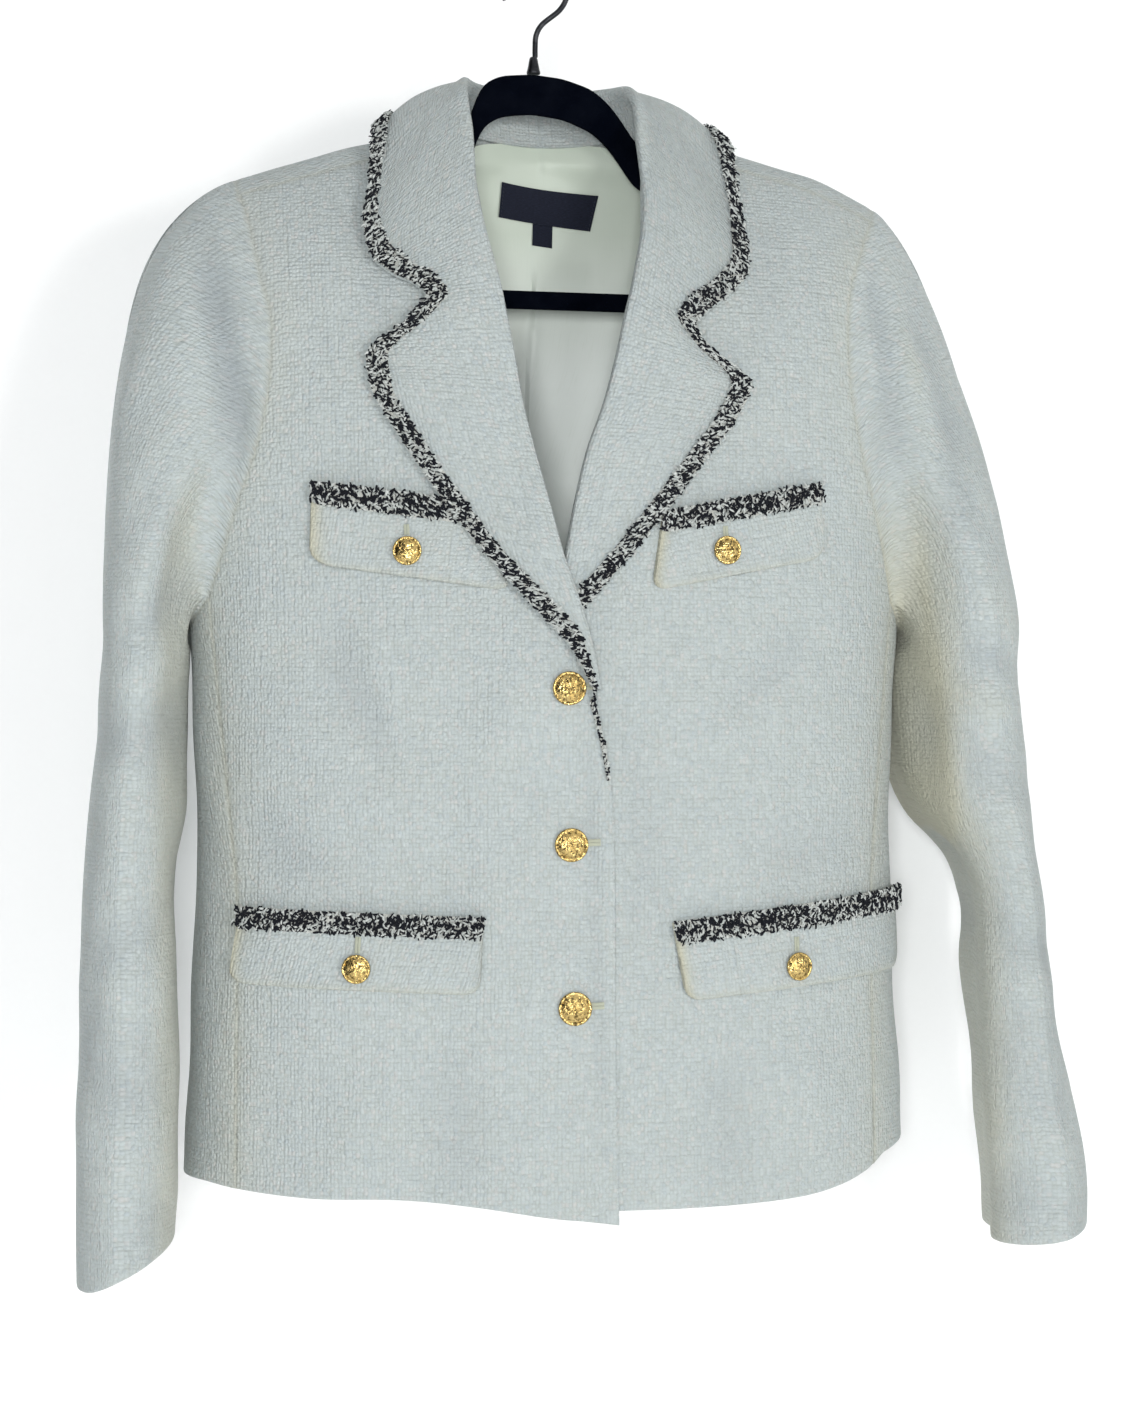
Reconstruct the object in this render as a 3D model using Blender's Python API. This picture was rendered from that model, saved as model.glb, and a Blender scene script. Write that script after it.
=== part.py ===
"""A short tweed jacket hanging on a velvet hanger, at real size.

Sizes below are in millimetres. The origin is the inside top of the hanger's hook, +Z is up and the
jacket's front faces -Y, so the wearer's right side is at -X. Every cloth piece is a wall of its own,
made from one grid of points on the body's surface, with its neighbours a small gap away.
"""
import math

import bmesh
import bpy
from mathutils import Matrix, Vector

MM = 0.001

# Cloth
TWEED = 2.2            # wall of the tweed
SATIN = 1.0            # wall of the lining
LINING_GAP = 2.2       # space between the back and its lining
BRAID = 2.6            # height of the tufted braid
COLLAR = 2.4           # wall of the collar and lapels
SEAM_GAP = 0.2         # each piece stops this far from its seam line
LAPEL_LIFT = 3.7       # outer face of a lapel above the front that it lies on
LAP_LIFT = 3.0         # outer face of the right front above the left one
OVER_LAPEL_LIFT = 3.9  # further lift where it also covers the left lapel
FLAP_LIFT = 3.1        # outer face of a flap above its panel
BRAID_LIFT = 1.0       # under face of the braid above the cloth
SHOULDER_BRAID_LIFT = 2.0
LAP_RISE = (58, 9)     # the right front rises between these distances beyond the left one's edge
LAP_START = (-258, -354)
LAPEL_COVERED = (-495, -445)

# Body
CENTRE_X = 8.0         # middle of the body, beside the hook
ROUNDNESS = 2.3        # power of the body's rounded plan
FRONT_DEPTH = 88.0
BACK_DEPTH = 62.0
FALL_REACH = 100.0     # drop below the ridge over which the body fills out
TOP_REACH = 60.0       # the same for the flatter part near the ridge
TOP_SHARE = 0.6        # share of the depth that the flatter part keeps
NECK_HALF = 70.0       # half width of the neck's swell
NECK_BACK = 36.0       # how far the back neck stands off the hanger
NECK_FADE = 90.0       # height over which that fades down the back
NECK_Z = -105.0
RIDGE_EDGE = 0.05      # smallest drop below the ridge that is told apart

# Height of the shoulder ridge across the body
RIDGE = [  # x, z
    (-230, -160), (-198, -147), (-175, -138.5), (-140, -128), (-99, -116), (-56, -103),
    (-30, -99), (40, -99), (67, -104), (122, -115.5), (163, -126), (188, -136), (213, -148), (240, -162),
]
# Half width of the body at each height
WIDTH = [  # z, half width
    (-760, 217), (-720, 216), (-620, 211), (-520, 208), (-400, 213), (-330, 222), (-250, 245),
    (-160, 285), (-100, 300),
]
# Armholes, by the root of the drop below the ridge (negative in front of the ridge, on the back)
SHOULDER_ROOT = 3.46
UNDERARM_ROOT = 15.5
FRONT_ARMHOLE = [  # root, right x, left x
    (3.46, -176.5, 204), (6.2, -170, 193), (8.2, -165, 183), (9.8, -159.5, 179.5), (11.5, -161, 180.5),
    (13.0, -169, 188.5), (13.9, -178.5, 196), (14.8, -187, 204), (15.5, -194, 210),
]
BACK_ARMHOLE = [  # root, right x, left x
    (-3.46, -176.5, 204), (0, -178, 207), (3.46, -177, 206), (6.2, -173, 198), (8.2, -170, 191),
    (10, -168, 187), (11.5, -168, 186), (13, -173, 191), (14, -181, 198), (15.5, -193, 209),
]
# Seams of the side panels, measured from the body's middle
SIDE_SEAMS = [  # z, front seam, back seam
    (-386, 202, 201), (-480, 193, 186), (-560, 186, 178), (-640, 186.5, 176), (-740, 187, 176),
]
UNDERARM_DIP = 17.0    # how far the side panel's top dips below its corners
# Front edges: roll line of the lapel, then the edge below it
FRONT_EDGES = [  # z, right front, left front
    (-108, -50.1, 66.1), (-128, -47.1, 63.1), (-155, -44.1, 60.4), (-192, -36.8, 54.0),
    (-222, -30.8, 45.8), (-252, -26.2, 38.8), (-276, -22.4, 31.6), (-303, -16.2, 21.4),
    (-331, -9.2, 14.5), (-361, -1.4, 8.6), (-390, 8.8, 2.8), (-416, 16.0, -2.2), (-440, 20.4, -5.6),
    (-456, 24, -10), (-474, 28, -13), (-493, 31, -16), (-558, 33, -18), (-614, 33, -18.5), (-742, 35, -20),
]
# Hem by turn about the body: 0 is the front middle, 90 a side, 180 the back middle
HEM_RIGHT = [  # turn, z
    (-6, -742), (1, -737), (11, -729.5), (23.5, -725), (38, -725), (57, -722), (72, -719.5),
    (110, -722), (180, -726),
]
HEM_LEFT = [  # turn, z
    (-8, -733), (17, -734), (36, -732), (46, -728), (56, -721), (63, -713), (90, -708),
    (120, -716), (180, -726),
]

# Collar and lapel sections, centre back to the break of the lapel. A missing base sits in the roll,
# and a missing y lies on the front, as a missing height of the hanger's arm follows the ridge.
NONE = None
COLLAR_RIGHT = [  # base xyz, roll xyz, edge xyz
    ((8, 30.5, -107), (8, 46, -69), (8, 45, -129)),
    ((-15, 22.5, -107), (-15.5, 40, -69.5), (-32, 43, -129)),
    ((-35, 8.5, -107), (-34, 24, -70.5), (-70, 27, -127)),
    ((-45.5, 1, -107), (-42, 5, -72), (-94, 0, -107)),
    ((-46.2, -8, -109), (-43, -14, -86), (-102, -34, -147)),
    ((-45, -20, -118.5), (-42, -30, -111), (-107, -46, -171)),
    (NONE, (-40.5, NONE, -143), (-104, NONE, -190)),
    (NONE, (-37, NONE, -172), (-92, NONE, -203)),
    (NONE, (-32.5, NONE, -193), (-80, NONE, -209)),
    (NONE, (-29, NONE, -209), (-73, NONE, -216)),
    (NONE, (-26.5, NONE, -224), (-84, NONE, -230)),
    (NONE, (-22.5, NONE, -248), (-107, NONE, -251)),
    (NONE, (-18.5, NONE, -274), (-105, NONE, -267)),
    (NONE, (-12, NONE, -303), (-88, NONE, -298)),
    (NONE, (-5, NONE, -331), (-70, NONE, -325)),
    (NONE, (3, NONE, -362), (-46, NONE, -357)),
    (NONE, (13, NONE, -391), (-15, NONE, -393)),
    (NONE, (20, NONE, -416), (6, NONE, -416)),
    (NONE, (24, NONE, -439), (17, NONE, -437)),
]
COLLAR_LEFT = [  # base xyz, roll xyz, edge xyz
    ((8, 30.5, -107), (8, 46, -69), (8, 45, -129)),
    ((31, 22.5, -107), (31.5, 40, -69.5), (48, 43, -129)),
    ((51, 8.5, -107), (50, 24, -71), (87, 27, -128)),
    ((61.5, 1, -107), (58, 5, -74), (113, 0, -108)),
    ((62.2, -8, -109), (58.5, -14, -87), (114, -34, -147)),
    ((61, -20, -118.5), (57.5, -30, -111), (116, -46, -172)),
    (NONE, (56.8, NONE, -143), (117, NONE, -194)),
    (NONE, (54, NONE, -172), (104, NONE, -211)),
    (NONE, (49.8, NONE, -191), (91, NONE, -221)),
    (NONE, (46, NONE, -207), (82.5, NONE, -232)),
    (NONE, (41.8, NONE, -222), (94, NONE, -247)),
    (NONE, (35, NONE, -250), (115, NONE, -264)),
    (NONE, (27.8, NONE, -275), (106, NONE, -283)),
    (NONE, (17.5, NONE, -303), (88, NONE, -306)),
    (NONE, (10.5, NONE, -331), (68, NONE, -331)),
    (NONE, (4.8, NONE, -360), (45, NONE, -359)),
    (NONE, (2.4, NONE, -373), (33, NONE, -373)),
    (NONE, (-1, NONE, -389), (18, NONE, -390)),
    (NONE, (-6, NONE, -415), (4, NONE, -408)),
    (NONE, (-9, NONE, -437), (-6, NONE, -431)),
]
STAND_ROWS = 6         # sections of each half that have a stand, from the centre back
SHOULDER_PUFF = 4.5    # how much further the collar stands off over the shoulder
COLLAR_BRAID_WIDTH = 12.5
LEFT_BRAID_END = 17    # rows of the left collar that its braid runs along
RIGHT_BRAID_TAIL = [  # z, width of the narrow tufts that run on down the right front's edge
    (-446, 6.0), (-460, 4.5), (-476, 4.0), (-490, 3.5),
]

# Sleeves, from the upper arm to the cuff
SLEEVE_RIGHT = [  # z, outer x, inner x, middle y, half depth
    (-430, -254.5, -210.5, -2, 64), (-490, -260.5, -211.5, -4, 61), (-550, -265, -212.5, -9, 58),
    (-615, -267, -211, -16, 54), (-680, -268, -211, -24, 50), (-735, -268.5, -212, -30, 46),
    (-774, -268, -213, -34, 44),
]
SLEEVE_LEFT = [
    (-430, 288, 230, -2, 64), (-490, 295, 236, -4, 60), (-550, 299, 266, -9, 56),
    (-615, 306, 270, -16, 53), (-680, 314, 272, -24, 49), (-730, 324, 273, -30, 45),
    (-766, 324, 274, -34, 43),
]
CUFF_RIGHT = (26.0, 0.0)    # how much higher the cuff's inner and outer side end
CUFF_LEFT = (3.0, 14.0)
SLEEVE_SQUARE = 0.62   # power of the sleeve's rounded section, 1 for an oval

# Pocket flaps: corners in x, z, upper outer, upper inner, lower outer, lower inner
FLAPS = {
    "chest_flap_right": ((-137, -322), (-68, -331), (-138, -368), (-50, -381)),
    "chest_flap_left": ((157, -319), (69, -336), (160, -362), (50, -381)),
    "pocket_flap_right": ((-176, -562), (-42, -567), (-182, -605), (-44, -610)),
    "pocket_flap_left": ((214, -556), (66, -571), (216, -604), (74, -616)),
}
FLAP_ROUND = 9.0       # how far the flap's lower corners are rounded off
BRAID_BAND = 12.0      # height of the braid on a flap's top edge

# Buttons
FRONT_BUTTONS = [(5.4, -438), (7, -526), (9, -618)]
FLAP_BUTTONS = [(-84, -361), (98, -359), (-112, -595), (141, -598)]
FRONT_BUTTON_RADIUS = 9.6
FLAP_BUTTON_RADIUS = 8.2
BUTTON_SEAT = 0.7      # space between a button and its cloth

# Label: corners in x, z on the lining, upper right side first
LABEL = ((-16.6, -130), (42.5, -137), (-18, -150.5), (38.5, -157.5))
SIZE_TAB = ((1.5, -153.6), (13.7, -155), (1.5, -166.5), (13.7, -168))
LABEL_WALL = 0.8

# Hanger
HOOK_RADIUS = 18.15    # inside of the hook
WIRE_RADIUS = 1.65
HOOK_TIP_TURN = 205.0
STEM_FOOT = -60.0
HANGER_WALL = 5.6
HANGER_DROP = 4.9      # top of the arms below the shoulder ridge
ARMS = [  # x, top z at the arch (or NONE to follow the ridge), depth of the arm
    (-180.7, NONE, 11), (-176, NONE, 14), (-150, NONE, 17), (-110, NONE, 21), (-75, NONE, 24),
    (-56, -114.5, 26), (-48, -111.5, 26), (-43, -109, 27), (-40, -100, 28), (-37, -88, 27),
    (-32, -77.5, 25.5), (-21, -72, 24.5), (-2, -70.5, 24), (17, -72.5, 24.5), (34, -78, 26),
    (44, -86, 27), (52, -96, 28), (57, -104, 28), (60, -109, 27), (68, -114.5, 26),
    (85, NONE, 24), (125, NONE, 21),
    (165, NONE, 17), (196, NONE, 14), (203, NONE, 11),
]
BAR_ROUTE = [  # x, z along the middle of the trouser bar
    (-170, -158.8), (-172, -171.5), (-169, -190), (-160, -198.5), (-145, -203), (0, -205.5),
    (160, -206), (176, -202), (186, -193), (190, -174), (188, -159.2),
]
BAR_DEPTH = 11.0
BAR_WALL = 5.0
ARM_SECTION = [  # share of the half wall, and height from the top (or, below, from the bottom)
    (0.45, 0.0), (1, -2.2), (1, 2.2), (0.45, 0.0),
]
BAR_SECTION = [(0.5, 0.5), (1, 0.3), (1, -0.3), (0.5, -0.5), (-0.5, -0.5), (-1, -0.3), (-1, 0.3), (-0.5, 0.5)]
FERRULE_FOOT = -70.1
FERRULE_RADII = (4.6, 2.3)
STEM_BEND = [(0.0, -54.0), (0.6, -47.0), (4.0, -40.6)]   # x, z of the wire from its stem to the circle
CIRCLE_START = -54       # turn at which the circle begins
CIRCLE_STEPS = 20
WIRE_SIDES = 10


def smooth(value, low, high):
    """0 below low, 1 above high, eased between; low may be the larger."""
    t = min(max((value - low) / (high - low), 0.0), 1.0)
    return t * t * (3 - 2 * t)


def read(rows, key, column=1):
    """Read a table along its first column with a soft curve through its rows."""
    if rows[0][0] > rows[-1][0]:
        rows = rows[::-1]
    if key <= rows[0][0]:
        return rows[0][column]
    if key >= rows[-1][0]:
        return rows[-1][column]
    i = next(k for k in range(len(rows) - 1) if key <= rows[k + 1][0])
    x0, x1 = rows[i][0], rows[i + 1][0]
    y0, y1 = rows[i][column], rows[i + 1][column]
    slope = (y1 - y0) / (x1 - x0)

    def tangent(a):
        if a in (0, len(rows) - 1):
            return slope
        return (rows[a + 1][column] - rows[a - 1][column]) / (rows[a + 1][0] - rows[a - 1][0])

    span = x1 - x0
    t = (key - x0) / span
    h = t * t * (3 - 2 * t)
    start = t * (1 - t) ** 2 * tangent(i) * span
    end = t * t * (t - 1) * tangent(i + 1) * span
    return y0 + (y1 - y0) * h + start + end


def depth_at(x, z, face):
    """How far the body stands off the ridge's plane, in front (face -1) or behind (face 1)."""
    drop = max(read(RIDGE, x) - z, RIDGE_EDGE)
    depth = FRONT_DEPTH if face < 0 else BACK_DEPTH
    flatter = 1 - (1 - TOP_SHARE) * math.exp(-drop / TOP_REACH)
    fall = depth * math.sqrt(1 - math.exp(-drop / FALL_REACH)) * flatter
    if face < 0:
        return fall
    across = (x - CENTRE_X) / NECK_HALF
    neck = NECK_BACK * max(1 - across * across, 0.0) ** 2 * math.exp(min(z - NECK_Z, 0) / NECK_FADE)
    return math.hypot(fall, neck)


def inside_measure(x, y, z):
    """Zero on the body, growing outward."""
    face = -1 if y < 0 else 1
    s = min(abs(x - CENTRE_X) / read(WIDTH, z), 1.2)
    above = min((read(RIDGE, x) - z) / RIDGE_EDGE, 1.0)
    return abs(y) ** ROUNDNESS - above * depth_at(x, z, face) ** ROUNDNESS * (1 - s ** ROUNDNESS)


def outward(p):
    """Unit normal of the body at p."""
    step = 0.2
    slopes = []
    for axis in range(3):
        ahead = list(p)
        behind = list(p)
        ahead[axis] += step
        behind[axis] -= step
        slopes.append(inside_measure(*ahead) - inside_measure(*behind))
    return Vector(slopes).normalized()


def turn_of(x, z, face):
    """Turn about the body, in degrees, of the point of one face at x, z."""
    s = min(max((x - CENTRE_X) / read(WIDTH, z), -1.0), 1.0)
    turn = math.degrees(math.asin(abs(s) ** (ROUNDNESS / 2)))
    if face > 0:
        turn = 180 - turn
    return math.copysign(turn, s)


def on_turn(turn, z, lift=0.0):
    """Point of the body at a turn and a height, moved out by lift."""
    sine, cosine = math.sin(math.radians(turn)), math.cos(math.radians(turn))
    s = math.copysign(abs(sine) ** (2 / ROUNDNESS), sine)
    x = CENTRE_X + read(WIDTH, z) * s
    face = -1 if cosine > 0 else 1
    y = face * depth_at(x, z, face) * abs(cosine) ** (2 / ROUNDNESS)
    p = Vector((x, y, z))
    return p + outward(p) * lift


def on_face(x, z, face, lift=0.0):
    """Point of the front (face -1) or the back (face 1) at x, z, moved out by lift."""
    return on_turn(turn_of(x, z, face), z, lift)


def right_front_lift(x, z):
    """The right front rises over the left one, and further over the left lapel."""
    left_edge = read(FRONT_EDGES, z, 2)
    across = smooth(x, left_edge - LAP_RISE[0], left_edge - LAP_RISE[1])
    over_lapel = smooth(z, *LAPEL_COVERED)
    starts = smooth(z, *LAP_START)
    return across * starts * (LAP_LIFT + OVER_LAPEL_LIFT * over_lapel)


def no_lift(x, z):
    return 0.0


# Walls

def material(name, colour, roughness, metallic=0.0):
    made = bpy.data.materials.new(name)
    made.use_nodes = True
    shader = made.node_tree.nodes["Principled BSDF"]
    shader.inputs["Base Color"].default_value = (*colour, 1.0)
    shader.inputs["Roughness"].default_value = roughness
    shader.inputs["Metallic"].default_value = metallic
    return made


FINISH = {
    "tweed": ((0.80, 0.79, 0.72), 0.9, 0.0),
    "satin": ((0.82, 0.78, 0.68), 0.35, 0.0),
    "braid": ((0.09, 0.085, 0.075), 0.95, 0.0),
    "label": ((0.02, 0.025, 0.06), 0.6, 0.0),
    "velvet": ((0.012, 0.012, 0.013), 0.9, 0.0),
    "gold": ((0.85, 0.62, 0.28), 0.3, 1.0),
    "steel": ((0.30, 0.29, 0.28), 0.35, 1.0),
}


def add_object(name, bm, finish):
    """Make a named object from a bmesh in millimetres, with its own material."""
    bmesh.ops.scale(bm, vec=Vector((MM, MM, MM)), verts=bm.verts)
    bmesh.ops.recalc_face_normals(bm, faces=bm.faces)
    mesh = bpy.data.meshes.new(name)
    bm.to_mesh(mesh)
    bm.free()
    mesh.materials.append(material(name + "_finish", *FINISH[finish]))
    made = bpy.data.objects.new(name, mesh)
    bpy.context.scene.collection.objects.link(made)
    mesh.shade_smooth()
    mesh.set_sharp_from_angle(angle=math.radians(40))
    return made


def grid_normals(points, ring):
    """Unit normals of a grid of points, by its neighbours' differences."""
    rows, columns = len(points), len(points[0])
    normals = []
    for j in range(rows):
        line = []
        for i in range(columns):
            if ring:
                along = points[j][(i + 1) % columns] - points[j][i - 1]
            else:
                along = points[j][min(i + 1, columns - 1)] - points[j][max(i - 1, 0)]
            down = points[min(j + 1, rows - 1)][i] - points[max(j - 1, 0)][i]
            line.append(along.cross(down).normalized())
        normals.append(line)
    return normals


def eased(points, gap, ring):
    """Draw the outer rows and columns in from the seams by a gap."""
    moved = [[p.copy() for p in line] for line in points]
    last = len(points) - 1
    for i in range(len(points[0])):
        moved[0][i] += (points[1][i] - points[0][i]).normalized() * gap
        moved[last][i] += (points[last - 1][i] - points[last][i]).normalized() * gap
    if not ring:
        for j, line in enumerate(points):
            moved[j][0] += (line[1] - line[0]).normalized() * gap
            moved[j][-1] += (line[-2] - line[-1]).normalized() * gap
    return moved


def wall(name, outer, inner, finish, ring=False, gap=SEAM_GAP):
    """A closed wall between two grids of points; a ring joins each row's ends into a tube."""
    outer = eased(outer, gap, ring)
    inner = eased(inner, gap, ring)
    bm, place = mapped_grid(outer, ring)
    columns = len(outer[0])
    stride = columns + 1 if ring else columns
    copied = bmesh.ops.extrude_face_region(bm, geom=bm.faces[:], use_keep_orig=True)
    for vert in copied["geom"]:
        if isinstance(vert, bmesh.types.BMVert):
            row, column = divmod(vert[place], stride)
            vert.co = inner[row][column % columns]
    return add_object(name, bm, finish)


def mapped_grid(points, ring):
    """A sheet through a grid of points, with the place of each point kept on its vertex."""
    rows, columns = len(points), len(points[0])
    across = columns if ring else columns - 1
    bm = bmesh.new()
    bmesh.ops.create_grid(bm, x_segments=across, y_segments=rows - 1, size=1.0)
    place = bm.verts.layers.int.new("place")
    for index, vert in enumerate(bm.verts):
        vert[place] = index
        row, column = divmod(index, across + 1)
        vert.co = points[row][column % columns]
    if ring:
        ends = [v for v in bm.verts if v[place] % (across + 1) in (0, across)]
        bmesh.ops.remove_doubles(bm, verts=ends, dist=1e-4)
    return bm, place


def inset(points, normals, thickness):
    return [[p - n * thickness for p, n in zip(line, row)] for line, row in zip(points, normals)]


# Fronts, side panels and back

UPPER_ROWS = 8         # rows between the shoulder and the underarm
LOWER_ROWS = 8         # rows between the underarm and the hem
FRONT_COLUMNS = 13
FRONT_SPREAD = 0.85    # below 1 the columns lie closer together near the front edge
SIDE_TURNS = (68, 118) # turn of the front and the back side seam at the hem
BACK_UPPER_ROWS = 10
BACK_KEEP = 2.5        # rows over which the top edge's spacing fades out
SIDE_COLUMNS = 5
LINING_COLUMNS = 14
LINING_ROWS = 15
LINING_ROOTS = (5.0, 24.2)    # top and bottom, by the root of the drop below the ridge
LINING_NECK_RISE = 1.7        # how much less that root is at the middle of the neck
LINING_NECK_SHARE = 0.08      # half width of that rise, as a share of the lining
LINING_INSET = 9.0            # sides of the lining inside the armholes
LINING_LOW_X = (-176, 192)    # its sides below the underarm, before that inset
LINING_SPREAD = 1.35          # above 1 the columns lie closer together near the middle
# Columns of the back at its top edge, on the right of the middle: x and root of the drop there
BACK_TOP = [  # x, root
    (-150, -3.46), (-124, -3.46), (-98, -3.46), (-76, -3.46), (-60, -3.46), (-52, -3.46),
    (-51, -1.3), (-49.5, 1.0), (-44, 1.9), (-30, 2.45), (-10, 2.45),
]


def side_of(side, right, left):
    return right if side == "right" else left


def hem_at(side, turn):
    return read(side_of(side, HEM_RIGHT, HEM_LEFT), side_of(side, -turn, turn))


def below_underarm(side, turn, top_z, row):
    """Height of a lower row at a turn, between the underarm line and the hem."""
    return top_z + (hem_at(side, turn) - top_z) * row / LOWER_ROWS


def seam_x(side, z, column):
    return CENTRE_X + side_of(side, -1, 1) * read(SIDE_SEAMS, z, column)


def front_grid(side, lift_at, extra):
    """Outer points of a front, moved by its own lift and a further one."""
    edge_column = side_of(side, 1, 2)
    rows = []
    for j in range(UPPER_ROWS + LOWER_ROWS + 1):
        upper = min(j / UPPER_ROWS, 1.0)
        root = SHOULDER_ROOT + (UNDERARM_ROOT - SHOULDER_ROOT) * upper
        below = max(j - UPPER_ROWS, 0)
        outer_x = read(FRONT_ARMHOLE, root, edge_column)
        if below:
            corner_z = read(RIDGE, outer_x) - root ** 2
            hem = hem_at(side, side_of(side, -SIDE_TURNS[0], SIDE_TURNS[0]))
            seam_z = corner_z + (hem - corner_z) * below / LOWER_ROWS
            outer_x = seam_x(side, seam_z, 1)

        def height(x):
            z = read(RIDGE, x) - root ** 2
            if not below:
                return z
            turn = turn_of(x, z, -1)
            return below_underarm(side, turn, z, below)

        inner_x = 0.0
        for _ in range(12):
            inner_x = read(FRONT_EDGES, height(inner_x), edge_column)
        line = []
        for i in range(FRONT_COLUMNS + 1):
            share = (i / FRONT_COLUMNS) ** FRONT_SPREAD
            x = outer_x + (inner_x - outer_x) * share
            z = height(x)
            line.append(on_face(x, z, -1, lift_at(x, z) + extra))
        rows.append(line)
    return rows


def front(side, lift_at):
    outer = front_grid(side, lift_at, 0.0)
    inner = front_grid(side, lift_at, -TWEED)
    return wall("front_" + side, outer, inner, "tweed")


def side_corner(side, column):
    """Turn and height of a side panel's upper corner, at the front or the back seam."""
    table, face = (FRONT_ARMHOLE, -1) if column == 1 else (BACK_ARMHOLE, 1)
    x = read(table, UNDERARM_ROOT, side_of(side, 1, 2))
    z = read(RIDGE, x) - UNDERARM_ROOT ** 2
    return turn_of(x, z, face), z


def side_top(side, share):
    """Height of the side panel's top edge, from its front seam (0) to its back seam (1)."""
    front_z = side_corner(side, 1)[1]
    back_z = side_corner(side, 2)[1]
    return front_z + (back_z - front_z) * share - UNDERARM_DIP * math.sin(math.pi * share)


def side_turns(side, z):
    front_turn = turn_of(seam_x(side, z, 1), z, -1)
    back_turn = turn_of(seam_x(side, z, 2), z, 1)
    return front_turn, back_turn


def side_point(side, share, row, lift):
    top = side_top(side, share)
    corners = side_corner(side, 1)[0], side_corner(side, 2)[0]
    turn = corners[0] + (corners[1] - corners[0]) * share
    z = below_underarm(side, turn, top, row)
    if row:
        turns = side_turns(side, z)
        turn = turns[0] + (turns[1] - turns[0]) * share
        z = below_underarm(side, turn, top, row)
    return on_turn(turn, z, lift)


def side_grid(side, lift):
    shares = [i / SIDE_COLUMNS for i in range(SIDE_COLUMNS + 1)]
    return [[side_point(side, s, j, lift) for s in shares] for j in range(LOWER_ROWS + 1)]


def side_panel(side):
    outer, inner = side_grid(side, 0.0), side_grid(side, -TWEED)
    return wall("side_panel_" + side, outer, inner, "tweed")


def back_top():
    """The back's top edge: share across, x and root of the drop, right to left."""
    right = [(read(BACK_ARMHOLE, -SHOULDER_ROOT), -SHOULDER_ROOT)] + BACK_TOP
    left = [(2 * CENTRE_X - x, root) for x, root in reversed(BACK_TOP)]
    left.append((read(BACK_ARMHOLE, -SHOULDER_ROOT, 2), -SHOULDER_ROOT))
    return right + [(CENTRE_X, 2.45)] + left


def back_rows():
    """Turns and heights, as (x, z, face), of the whole back's rows."""
    top = back_top()
    count = len(top) - 1
    rows = []
    for j in range(BACK_UPPER_ROWS + LOWER_ROWS + 1):
        upper = min(j / BACK_UPPER_ROWS, 1.0)
        below = max(j - BACK_UPPER_ROWS, 0)
        spread = math.exp(-j / BACK_KEEP)
        edge_root = -SHOULDER_ROOT + (UNDERARM_ROOT + SHOULDER_ROOT) * upper
        ends = [read(BACK_ARMHOLE, edge_root, column) for column in (1, 2)]
        if below:
            for k, side in enumerate(("right", "left")):
                corner_z = side_corner(side, 2)[1]
                hem = hem_at(side, side_of(side, -SIDE_TURNS[1], SIDE_TURNS[1]))
                ends[k] = seam_x(side, corner_z + (hem - corner_z) * below / LOWER_ROWS, 2)
        line = []
        for i, (top_x, top_root) in enumerate(top):
            even = ends[0] + (ends[1] - ends[0]) * i / count
            width = (ends[1] - ends[0]) / (top[-1][0] - top[0][0])
            follows = ends[0] + (top_x - top[0][0]) * width
            x = even + (follows - even) * spread
            root = top_root + (UNDERARM_ROOT - top_root) * upper
            z = read(RIDGE, x) - root ** 2
            face = -1 if root < 0 else 1
            if below:
                side = "right" if x < CENTRE_X else "left"
                z = below_underarm(side, turn_of(x, z, 1), z, below)
            line.append((x, z, face))
        rows.append(line)
    return rows


def back():
    rows = back_rows()
    outer = [[on_face(x, z, face) for x, z, face in line] for line in rows]
    inner = [[on_face(x, z, face, -TWEED) for x, z, face in line] for line in rows]
    return wall("back", outer, inner, "tweed")


def spread_from_middle(share):
    """Shares across that lie closer together near the middle."""
    u = 2 * share - 1
    return 0.5 + 0.5 * math.copysign(abs(u) ** LINING_SPREAD, u)


def back_lining():
    """Satin behind the hanger, from the neck and just behind the ridge down to above the hem."""
    rows = []
    for j in range(LINING_ROWS + 1):
        share = j / LINING_ROWS
        line = []
        for i in range(LINING_COLUMNS + 1):
            across = spread_from_middle(i / LINING_COLUMNS)
            start = LINING_ROOTS[0] - LINING_NECK_RISE * math.exp(-((across - 0.5) / LINING_NECK_SHARE) ** 2)
            root = start + (LINING_ROOTS[1] - start) * share
            right, left = LINING_LOW_X
            if root < UNDERARM_ROOT:
                right, left = read(BACK_ARMHOLE, root), read(BACK_ARMHOLE, root, 2)
            x = right + LINING_INSET + (left - right - 2 * LINING_INSET) * across
            line.append((x, read(RIDGE, x) - root ** 2))
        rows.append(line)
    out = -TWEED - LINING_GAP
    outer = [[on_face(x, z, 1, out) for x, z in line] for line in rows]
    inner = [[on_face(x, z, 1, out - SATIN) for x, z in line] for line in rows]
    return wall("back_lining", outer, inner, "satin", gap=0.0)


# Sleeves

HEAD_SHARES = (0.0, 0.13, 0.28, 0.48, 0.73, 1.0)   # rings from the seam to the first table row
HEAD_OUT = (34, 7)       # how far the sleeve leaves the seam squarely, at the shoulder and underarm
HEAD_DOWN = (150, 22)    # how long it hangs straight above the first table row
HEAD_UNDERARM = 14       # the same, more at the underarm
HEAD_FULLER = (36, 0)    # the right sleeve's head stands out further than the left one's
HEAD_FULL_FADE = (-290, -170)
UNDERARM_FADE = (-330, -395)
HANG_FADE = (-470, -180)
CUFF_RISE_FADE = (-620, -740)


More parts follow.
